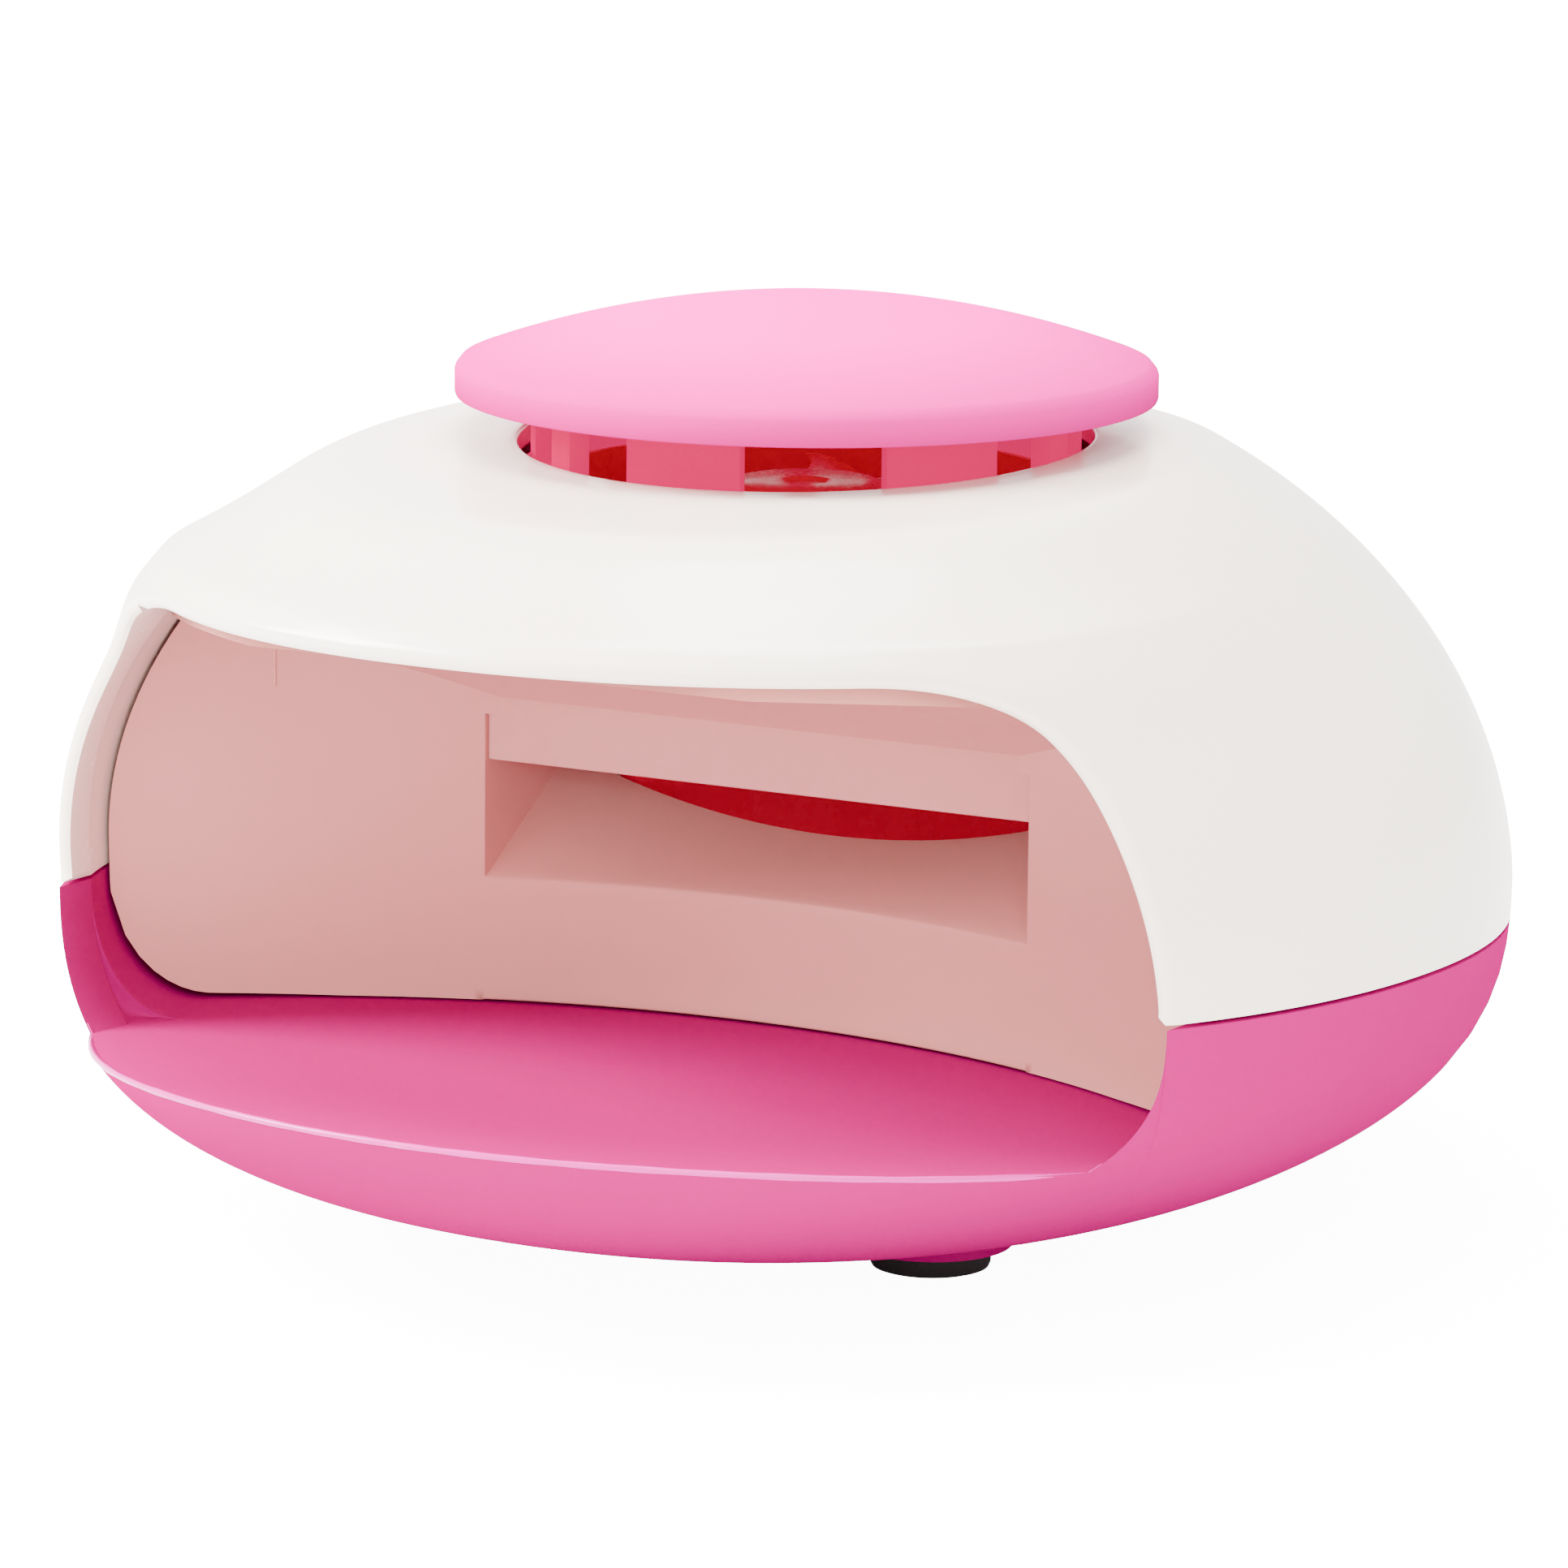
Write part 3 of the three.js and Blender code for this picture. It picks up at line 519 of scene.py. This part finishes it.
BEADS = []
FOOT_PLACES = [(20.8, -13.0), (-20.8, -13.0), (24.0, 40.0), (-24.0, 40.0)]
SCREW_PLACES = [(44.3, 37.1), (-44.3, 37.1), (0.0, 61.2)]


def lower_case():
    n_back, n_step, n_front = 190, 16, 96

    def edge(inset):
        """Top boundary of the skin: right step, back arc, left step, front."""
        z1 = np.full(1, 28.0)
        for _ in range(8):
            t1 = angle_of(mouth_side(z1), z1, inset)
            z1 = parting(on_case(t1, z1, inset)[:, 1]) - HALF_GAP
        z0 = np.full(1, 18.7)
        for _ in range(8):
            t0 = angle_of(mouth_side(z0), z0, inset)
            z0 = deck(on_case(t0, z0, inset)[:, 1])
        k = np.linspace(0, 1, n_step + 1)
        z_step = z0 + (z1 - z0) * k
        t_step = angle_of(mouth_side(z_step), z_step, inset)
        t_back = t1 + (math.pi - 2 * t1) * np.linspace(0, 1, n_back + 1)
        z_back = np.full_like(t_back, 27.0)
        for _ in range(8):
            z_back = parting(on_case(t_back, z_back, inset)[:, 1]) - HALF_GAP
        x_front = float(mouth_side(z0)[0]) * np.linspace(-1, 1, n_front + 1)[1:-1]
        z_front = np.full_like(x_front, 18.8)
        for _ in range(8):
            t_front = angle_of(x_front, z_front, inset)
            z_front = deck(on_case(t_front, z_front, inset)[:, 1])
        t = np.concatenate([t_step[:-1], t_back, (math.pi - t_step[:-1])[::-1], t_front + 2 * math.pi])
        z = np.concatenate([z_step[:-1], z_back, z_step[:-1][::-1], z_front])
        return t, z

    t_out, z_out = edge(0.0)
    t_in, z_in = edge(WALL)
    bm = bmesh.new()
    low = 15.0
    f0 = share(np.array(Z_FLAT))
    bottom = [on_case(t_out, np.full_like(t_out, Z_FLAT), f=f0 * k) for k in (0.0, 0.3, 0.6, 0.85)]
    bowl = [on_case(t_out, np.full_like(t_out, z)) for z in
            np.concatenate([Z_FLAT + (low - Z_FLAT) * np.linspace(0, 1, 34) ** 1.3])]
    side = [on_case(t_out, low + (z_out - low) * k) for k in np.linspace(0, 1, 6)[1:]]
    rim_in = on_case(t_in, z_in, WALL)
    wall = [rim_in]
    z_deck = deck(on_case(t_in, z_in, WALL)[:, 1])
    for _ in range(8):
        z_deck = deck(on_case(t_in, z_deck, WALL)[:, 1])
    z_deck = np.minimum(z_deck, z_in)
    high = np.clip(z_in - z_deck - 0.6, 0, SWEEP_H) * np.clip((-10 - rim_in[:, 1]) / 6, 0, 1)
    wide = high * SWEEP_W / SWEEP_H
    for k in np.linspace(0, 1, 9)[1:]:
        wall.append(on_case(t_in, z_in + (z_deck + high - z_in) * k, WALL))
    foot_line = wall[-1]
    inward = np.array([0.0, -12.0]) - foot_line[:, :2]
    inward /= np.linalg.norm(inward, axis=1, keepdims=True)
    floor = []
    for a in np.radians(np.linspace(0, 90, 11)[1:]):
        plan = foot_line[:, :2] + inward * (wide * (1 - math.cos(a)))[:, None]
        floor.append(np.column_stack([plan, deck(plan[:, 1]) + high * (1 - math.sin(a))]))
    start_line = floor[-1]
    for k in np.linspace(0, 1, 40)[1:]:
        plan = start_line[:, :2] + (np.array([0.0, -12.0]) - start_line[:, :2]) * k
        floor.append(np.column_stack([plan, deck(plan[:, 1])]))
    add_grid(bm, np.array(bottom + bowl + side + wall + floor), wrap=True)
    weld(bm, 1e-5)
    near = lambda p: abs(p.z - parting(p.y)) < 0.6 and p.z > 24
    round_edges(bm, 0.16, near)
    round_edges(bm, 0.45, lambda p: not near(p) and p.z > 14, angle=38, segments=4)
    lip_line = on_case(t_out, z_out)[(on_case(t_out, z_out)[:, 1] < -20) & (z_out < 19.6)]
    obj = to_object("lower_case", bm, MAT["pink"])

    def posts(m):
        for x, y in FOOT_PLACES:
            disc_bar(m, x, y, 2.0, 9.0, 6.9, 9.4)
        for x, y in SCREW_PLACES:
            disc_bar(m, x, y, 17.5, parting(y) - 0.6, 3.8)

    def pockets(m):
        for x, y in FOOT_PLACES:
            disc_bar(m, x, y, 1.0, 3.35, 5.65)
        for x, y in SCREW_PLACES:
            disc_bar(m, x, y, 0.0, 19.0, 2.9)
            disc_bar(m, x, y, 18.5, 40.0, 1.6, sides=24)

    def battery_room(m):
        block(m, -26.2, 26.2, 3.5, 28.5, 4.0, 21.0)

    def door_way(m):
        block(m, -46, 26.7, 3.5, 28.5, 3.6, 5.2)

    def door_slot(m):
        block(m, -46, 24.5, 5.5, 26.5, 1.0, 4.0)

    order = lip_line[np.argsort(lip_line[:, 0])]
    order = order[np.abs(order[:, 0]) < 49.0]
    lip_bead(order)
    boolean(obj, "UNION", posts)
    for tool in (pockets, battery_room, door_way, door_slot):
        boolean(obj, "DIFFERENCE", tool)
    shade(obj, 32)
    return obj


# ---------------------------------------------------------------- intake cap and vent ring
def intake_cap():
    r, z0, rim, lens, wall = 30.0, 70.4, 2.3, 84.0, 1.8
    top, edge = z0 + rim, r - 0.9
    sag = lambda q, big: big - math.sqrt(big * big - q * q)
    apex = top + 0.8 + sag(29.2, lens)
    outer = [(q, apex - sag(q, lens)) for q in np.linspace(0, edge, 40)]
    shoulder = [(edge + 0.35, apex - sag(edge, lens) - 0.16), (r - 0.28, top + 0.35),
                (r - 0.1, top + 0.12), (r, top - 0.15)]
    foot = [(r, z0 + 0.3), (r - 0.08, z0 + 0.08), (r - 0.3, z0), (r - wall + 0.25, z0), (r - wall, z0 + 0.25)]
    inner = [(r - wall, top - 1.0), (r - wall - 0.5, top - 0.4)]
    ceiling = [(q, apex - wall - sag(q, lens - wall)) for q in np.linspace(r - wall - 1.2, 0, 30)]
    profile = outer + shoulder + foot + inner + ceiling
    return lathe("intake_cap", profile, (0, FAN_Y, 0), MAT["cap"], sides=224, smooth=40)


def turned(profile, angles):
    """Grid of a (radius, height) profile turned about the fan axis."""
    r, z = profile[:, :1], profile[:, 1:]
    return np.stack([r * np.cos(angles), FAN_Y + r * np.sin(angles), z + 0 * angles], -1)


def vent_ring():
    bm = bmesh.new()
    t = np.linspace(0, 2 * math.pi, 144, endpoint=False)
    prof = [(21.9, 63.4), (24.2, 63.4), (24.2, 64.4), (23.9, 64.6),
            (23.5, 65.0), (22.2, 65.1), (21.9, 65.0), (21.9, 63.4)]
    p = np.array(prof)
    add_grid(bm, turned(p, t), wrap=True)
    for a0, a1 in ((19, 45), (75, 101), (139, 165), (195, 221), (259, 285), (315, 341)):
        way = np.radians(np.linspace(a0, a1, 16))
        section = np.array([(21.9, 65.0), (23.5, 65.0), (23.5, 73.2), (21.9, 73.2)])
        grid = turned(section, way)
        grid = np.concatenate([grid, grid[:1]])
        verts = add_grid(bm, grid)
        for j in (0, -1):
            bm.faces.new([verts[i][j] for i in range(4)])
    for deg in (0, 120, 240):
        new = block(bm, 22.25, 24.15, -1.5, 1.5, 64.5, 72.9)
        turn = Matrix.Translation((0, FAN_Y * MM, 0)) @ Matrix.Rotation(math.radians(deg), 4, "Z")
        bmesh.ops.transform(bm, matrix=turn, verts=new)
    weld(bm)
    round_edges(bm, 0.2, angle=50, segments=2)
    return to_object("vent_ring", bm, MAT["magenta"])


# ---------------------------------------------------------------- finger panel, its lip and its air chute
def finger_panel():
    n_in, n_out = 60, 30

    def plan_sum(x, y, z, f, inset):
        """1 on the plan outline inset into the case, less inside it."""
        across, along = (A - inset) * f, (B - inset) * f
        return (np.abs(x) / across) ** POWER + (np.abs(y - lean_at(z)) / along) ** POWER

    def inside(x, y, z):
        return plan_sum(x, y, z, share(z, CLEAR), CLEAR) < 1

    def reach(line):
        """Largest x at which the row's point is inside the case."""
        lo, hi = 0.0, 57.0
        for _ in range(40):
            mid = (lo + hi) / 2
            p = line(np.array(mid))
            lo, hi = (mid, hi) if inside(*p) else (lo, mid)
        return lo

    def start(x):
        return np.minimum(panel_y(x), LIP_Y + 0.8)

    def bottom_edge(x):
        y = panel_y(x)
        z = deck(y)
        fade = np.clip((-10 - y) / 6, 0, 1)
        f = share(z + SWEEP_H * fade, WALL)
        size = plan_sum(x, y, z, f, WALL) ** (1 / POWER)
        near = np.clip((1 - size) * 54 - 0.3, 0, SWEEP_W)
        rise = SWEEP_H * (1 - np.sqrt(1 - ((SWEEP_W - near) / SWEEP_W) ** 2)) * fade
        return z + 0.25 + np.minimum(rise, SWEEP_H - 1) + np.maximum(0, -(y + 12)) * 0.045

    rows = []
    for z in np.linspace(16.2, WIN_Z, 12):
        k = (WIN_Z - z) / (WIN_Z - 16.2)
        rows.append((lambda x, z=z, k=k: (x, panel_y(x), z + (bottom_edge(x) - 16.2) * k), "wall", 0.0))
    for z in np.linspace(WIN_Z, PANEL_TOP, 16)[1:-1]:
        rows.append((lambda x, z=z: (x, panel_y(x), z + 0 * x), "wall", 0.0))
    for k in np.linspace(0, 1, 6)[:-1]:
        rows.append((lambda x, k=k: (x, start(x), PANEL_TOP + (ceiling(start(x)) - PANEL_TOP) * k),
                     "wall", 0.0))
    for k in np.linspace(0, 1, 30):
        def over(x, k=k):
            a0 = np.arcsin((start(x) - CEIL_Y) / CEIL_DEPTH)
            a = a0 + (math.asin((-50.0 - CEIL_Y) / CEIL_DEPTH) - a0) * k
            return x, CEIL_Y + CEIL_DEPTH * np.sin(a), CEIL_Z + CEIL_RISE * np.cos(a)
        rows.append((over, "ceiling", k))
    grid, back = [], []
    for line, kind, k in rows:
        far = reach(line)
        mid = min(WIN_HALF, 0.62 * far)
        x = np.concatenate([np.linspace(-far, -mid, n_out + 1)[:-1], np.linspace(-mid, mid, n_in + 1),
                            np.linspace(mid, far, n_out + 1)[1:]])
        p = np.stack(line(x), -1)
        grid.append(p)
        if kind == "wall":
            back.append(p + [0, 1.5, 0])
        else:
            a = np.arcsin(np.clip((p[:, 1] - CEIL_Y) / CEIL_DEPTH, -1, 1))
            n = np.stack([0 * a, CEIL_RISE * np.sin(a), CEIL_DEPTH * np.cos(a)], -1)
            n /= np.linalg.norm(n, axis=1, keepdims=True)
            back.append(p * [1 - 0.03 * min(1, 4 * k), 1 - 0.03 * k, 1] + n * 1.5)
    grid, back = np.array(grid), np.array(back)
    in_window = lambda i, j: 11 <= i < 26 and n_out <= j < n_out + n_in
    bm = bmesh.new()
    add_grid(bm, grid, skip=in_window)
    add_grid(bm, back, skip=in_window)
    add_grid(bm, np.array([grid[0], back[0]]))
    add_grid(bm, np.array([grid[-1], back[-1]]))
    add_grid(bm, np.array([grid[:, 0], back[:, 0]]))
    add_grid(bm, np.array([grid[:, -1], back[:, -1]]))
    sill = slice(n_out, n_out + n_in + 1)
    add_grid(bm, np.array([grid[26, sill], back[26, sill]]))
    # the ramp of the air chute grows out of the sill, its cheeks out of the window's sides
    x = grid[11, sill, 0]
    rise = CHUTE_Z + CHUTE_R - np.sqrt(CHUTE_R ** 2 - x * x)
    ramp, under = [], []
    for k in np.linspace(0, 1, 12):
        y = panel_y(x) + (CHUTE_Y - panel_y(x)) * k
        z = WIN_Z + (rise - WIN_Z) * k
        ramp.append(np.stack([x, y, z], -1))
        under.append(np.stack([x, np.maximum(y, panel_y(x) + 1.5), z - 1.4], -1))
    ramp, under = np.array(ramp), np.array(under)
    under[0] = back[11, sill]
    add_grid(bm, ramp)
    add_grid(bm, under)
    add_grid(bm, np.array([ramp[-1], under[-1]]))
    for j, side in ((0, -1), (-1, 1)):
        col = n_out if side < 0 else n_out + n_in
        up = (grid[11:27, col, 2] - WIN_Z) / (PANEL_TOP - WIN_Z)
        foot = ramp[:, j]
        wall = foot[None] + np.array([0, 0, 1.0]) * (up[:, None] * (PANEL_TOP - foot[None, :, 2]))[..., None]
        wall[:, 0] = grid[11:27, col]
        outer = wall + [1.4 * side, 0, 0]
        outer[:, 0, 1] += 1.5
        add_grid(bm, wall)
        add_grid(bm, outer)
        add_grid(bm, np.array([wall[:, -1], outer[:, -1]]))
    weld(bm, 1e-6)
    round_edges(bm, 0.25, lambda p: p.z < 30 and p.y < 6 and abs(p.x) < 26, angle=30)
    # the lip over the window
    lip = bmesh.new()
    block(lip, -WIN_HALF, WIN_HALF, LIP_Y, LIP_Y + 1.6, LIP_Z, LIP_TOP)
    bmesh.ops.bevel(lip, geom=lip.edges[:], offset=0.22 * MM, segments=3, profile=0.5,
                    affect="EDGES", clamp_overlap=True)
    mesh = bpy.data.meshes.new("lip")
    lip.to_mesh(mesh)
    lip.free()
    bm.from_mesh(mesh)
    bpy.data.meshes.remove(mesh)
    for side in (-1, 1):
        x0, x1 = sorted((42.6 * side, 45.1 * side))
        block(bm, x0, x1, float(panel_y(np.array(44.2))) + 0.9, -8.6, 43.6, 50.4)
    return to_object("finger_panel", bm, MAT["panel"])


# ---------------------------------------------------------------- fan wheel, feet, battery door
def fan_wheel():
    r_tip, r_hub, z0, z1, blades = 19.4, 7.0, 58.0, 63.0, 7
    mid = (z0 + z1) / 2
    bm = bmesh.new()
    t = np.linspace(0, 2 * math.pi, 64, endpoint=False)
    prof = np.array([(1.3, z0), (6.6, z0), (7.0, z0 + 0.4), (7.0, z1 - 0.8), (6.7, z1 - 0.25),
                     (6.1, z1), (2.2, z1), (1.8, z1 - 0.3), (0.0, z1 - 0.3)])
    add_grid(bm, turned(prof, t) - [0, FAN_Y, 0], wrap=True)
    for b in range(blades):
        grid = []
        for r in np.linspace(6.4, r_tip, 12):
            k = (r - 6.4) / (r_tip - 6.4)
            pitch, chord = 0.72 - 0.26 * k, 4.6 + 0.16 * r
            u = np.linspace(-1, 1, 10)
            thick = 0.55 * np.sqrt(np.clip(1 - u ** 4, 0.02, 1))
            camber = 0.35 * (1 - u * u)
            loop_u = np.concatenate([u, u[::-1]])
            loop_v = np.concatenate([camber + thick, (camber - thick)[::-1]])
            y = loop_u * chord / 2 * math.cos(pitch) - loop_v * math.sin(pitch)
            z = mid + loop_u * chord / 2 * math.sin(pitch) + loop_v * math.cos(pitch)
            swing = b * 2 * math.pi / blades + 0.10 * k * k
            c, s = math.cos(swing), math.sin(swing)
            grid.append(np.stack([r * c - y * s, r * s + y * c, np.clip(z, z0 + 0.05, z1 - 0.05)], -1))
        grid = np.array(grid)
        reach = np.linalg.norm(grid[..., :2], axis=-1, keepdims=True)
        grid[..., :2] *= np.minimum(1, r_tip / reach)
        verts = add_grid(bm, grid, wrap=True)
        bm.faces.new(verts[0])
        bm.faces.new(verts[-1][::-1])
    bmesh.ops.translate(bm, verts=bm.verts[:], vec=(0, FAN_Y * MM, 0))
    weld(bm)
    return to_object("fan_wheel", bm, MAT["crimson"])


def rubber_foot(name, x, y):
    prof = [(0, 0.35), (2.6, 0.3), (3.6, 0.06), (4.1, 0.0), (4.6, 0.0), (4.95, 0.12), (5.1, 0.45),
            (5.22, 1.6), (5.3, 2.7), (5.2, 2.95), (4.9, 3.0), (0, 3.0)]
    return lathe(name, prof, (x, y, 0), MAT["rubber"], sides=96, smooth=40)


def battery_door():
    bm = bmesh.new()
    block(bm, -33.2, 24.2, 5.8, 26.2, 2.9, 4.4)
    block(bm, -29.2, 26.4, 3.8, 28.2, 3.9, 4.9)
    bmesh.ops.bevel(bm, geom=bm.edges[:], offset=0.25 * MM, segments=3, profile=0.5, affect="EDGES")
    for k in range(7):
        x = -30.5 + 2.0 * k
        new = block(bm, x, x + 0.9, 9.5, 22.5, 2.55, 3.2)
        edges = {e for v in new for e in v.link_edges}
        bmesh.ops.bevel(bm, geom=list(edges), offset=0.2 * MM, segments=2, profile=0.5, affect="EDGES")
    return to_object("battery_door", bm, MAT["pink"])


# ---------------------------------------------------------------- pieces on their CAD bodies
def place(obj, body, slot, *nodes):
    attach(obj, body)
    if nodes:
        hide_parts(*nodes)


place(upper_case(), "case", "white_case", "top_shell")
place(lower_case(), "case", "pink_case", "base_shell")
place(BEADS[0], "case", "pink_case")
place(intake_cap(), "case", "pink_cap", "dome_cap")
place(vent_ring(), "case", "crimson_air", "vent_ring")
place(finger_panel(), "panel", "white_panel", "finger_panel", "air_chute")
place(fan_wheel(), "rotor", "crimson_air", "impeller")
place(battery_door(), "door", "pink_case", "battery_door")
for label, (fx, fy) in zip(("front_right", "front_left", "rear_right", "rear_left"), FOOT_PLACES):
    place(rubber_foot("rubber_foot_" + label, fx, fy), "case", "rubber", "foot_" + label)

KEPT = {
    "fan_duct": "crimson", "duct_floor": "crimson", "motor_bracket": "crimson", "motor_can": "steel",
    "motor_shaft": "steel", "switch_body": "black", "switch_plunger": "red", "return_spring": "steel",
    "battery_spring_1": "steel", "battery_spring_2": "steel",
    "contact_left": "brass", "contact_right": "brass",
    "cell_1": "jacket", "cell_2": "jacket", "hinge_pin_left": "steel", "hinge_pin_right": "steel",
    "lead_red": "red", "lead_black": "black", "case_screw_right": "steel", "case_screw_left": "steel",
    "case_screw_back": "steel",
}
for node, look in KEPT.items():
    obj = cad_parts[node]
    obj.data.materials.clear()
    obj.data.materials.append(MAT[look])
    edge = obj.modifiers.new("edges", "BEVEL")
    edge.width, edge.segments, edge.limit_method, edge.angle_limit = 0.12 * MM, 2, "ANGLE", math.radians(50)

# ---------------------------------------------------------------- stage, light and camera
def stage_floor():
    n = 60
    bm = bmesh.new()
    x = np.linspace(-1500, 1500, n)
    bend = np.linspace(0, math.pi / 2, 16)[1:]
    y = np.concatenate([np.linspace(-2500, 900, 40), 900 + 500 * np.sin(bend), np.full(6, 1400.0)])[:, None]
    z = np.concatenate([np.zeros(40), 500 * (1 - np.cos(bend)), np.linspace(700, 2400, 6)])[:, None]
    grid = np.stack([x[None] + 0 * y, y + 0 * x[None], z + 0 * x[None]], -1)
    turn = math.radians(28.0)
    gx = grid[..., 0] * math.cos(turn) - grid[..., 1] * math.sin(turn)
    gy = grid[..., 0] * math.sin(turn) + grid[..., 1] * math.cos(turn)
    grid = np.stack([gx, gy, grid[..., 2]], -1)
    add_grid(bm, grid)
    weld(bm)
    paper = moulded("paper", (0.88, 0.88, 0.88), 0.7, vary=0.0, wear_and_highlight_amount=0.0, spec=0.1)
    nodes, links = paper.node_tree.nodes, paper.node_tree.links
    seen = nodes.new("ShaderNodeLightPath")
    lift = nodes.new("ShaderNodeMath")
    lift.operation = "MULTIPLY"
    lift.inputs[1].default_value = 12.0
    links.new(seen.outputs["Is Camera Ray"], lift.inputs[0])
    nodes["Principled BSDF"].inputs["Emission Color"].default_value = (1, 1, 1, 1)
    links.new(lift.outputs[0], nodes["Principled BSDF"].inputs["Emission Strength"])
    obj = to_object("floor", bm, paper)


stage_floor()
world = bpy.context.scene.world or bpy.data.worlds.new("world")
bpy.context.scene.world = world
world.use_nodes = True
world.node_tree.nodes["Background"].inputs["Color"].default_value = (1, 1, 1, 1)
world.node_tree.nodes["Background"].inputs["Strength"].default_value = 2.8


def soft_light(name, spot, target, size, power, colour=(1, 1, 1)):
    data = bpy.data.lights.new(name, "AREA")
    data.shape, data.size, data.energy, data.color = "SQUARE", size, power, colour
    obj = bpy.data.objects.new(name, data)
    bpy.context.scene.collection.objects.link(obj)
    obj.location = spot
    obj.rotation_mode = "QUATERNION"
    obj.rotation_quaternion = (Vector(target) - Vector(spot)).to_track_quat("-Z", "Y")


soft_light("key", (-0.75, -0.42, 0.6), (0, 0, 0.04), 0.5, 60.0)
soft_light("fill", (0.5, -0.75, 0.45), (0, 0, 0.04), 0.5, 11.0)
soft_light("overhead", (0, 0.1, 0.9), (0, 0, 0.04), 0.6, 22.0)

AZ, TURN, PITCH, ROLL = (math.radians(a) for a in (28.448, 28.501, 11.303, 0.586))
DIST, HEIGHT, LENS = 0.68105, 0.17296, 36 * 9968.2 / 1932
ahead = Vector((-math.sin(TURN) * math.cos(PITCH), math.cos(TURN) * math.cos(PITCH), -math.sin(PITCH)))
right = Vector((math.cos(TURN), math.sin(TURN), 0))
up = right.cross(ahead)
right, up = right * math.cos(ROLL) + up * math.sin(ROLL), up * math.cos(ROLL) - right * math.sin(ROLL)
cam_data = bpy.data.cameras.new("camera")
cam_data.sensor_width, cam_data.lens = 36, LENS
cam_data.clip_start, cam_data.clip_end = 0.05, 20
cam = bpy.data.objects.new("camera", cam_data)
bpy.context.scene.collection.objects.link(cam)
cam.matrix_world = Matrix((
    (right.x, up.x, -ahead.x, DIST * math.sin(AZ)),
    (right.y, up.y, -ahead.y, -DIST * math.cos(AZ)),
    (right.z, up.z, -ahead.z, HEIGHT),
    (0, 0, 0, 1)))
bpy.context.scene.camera = cam
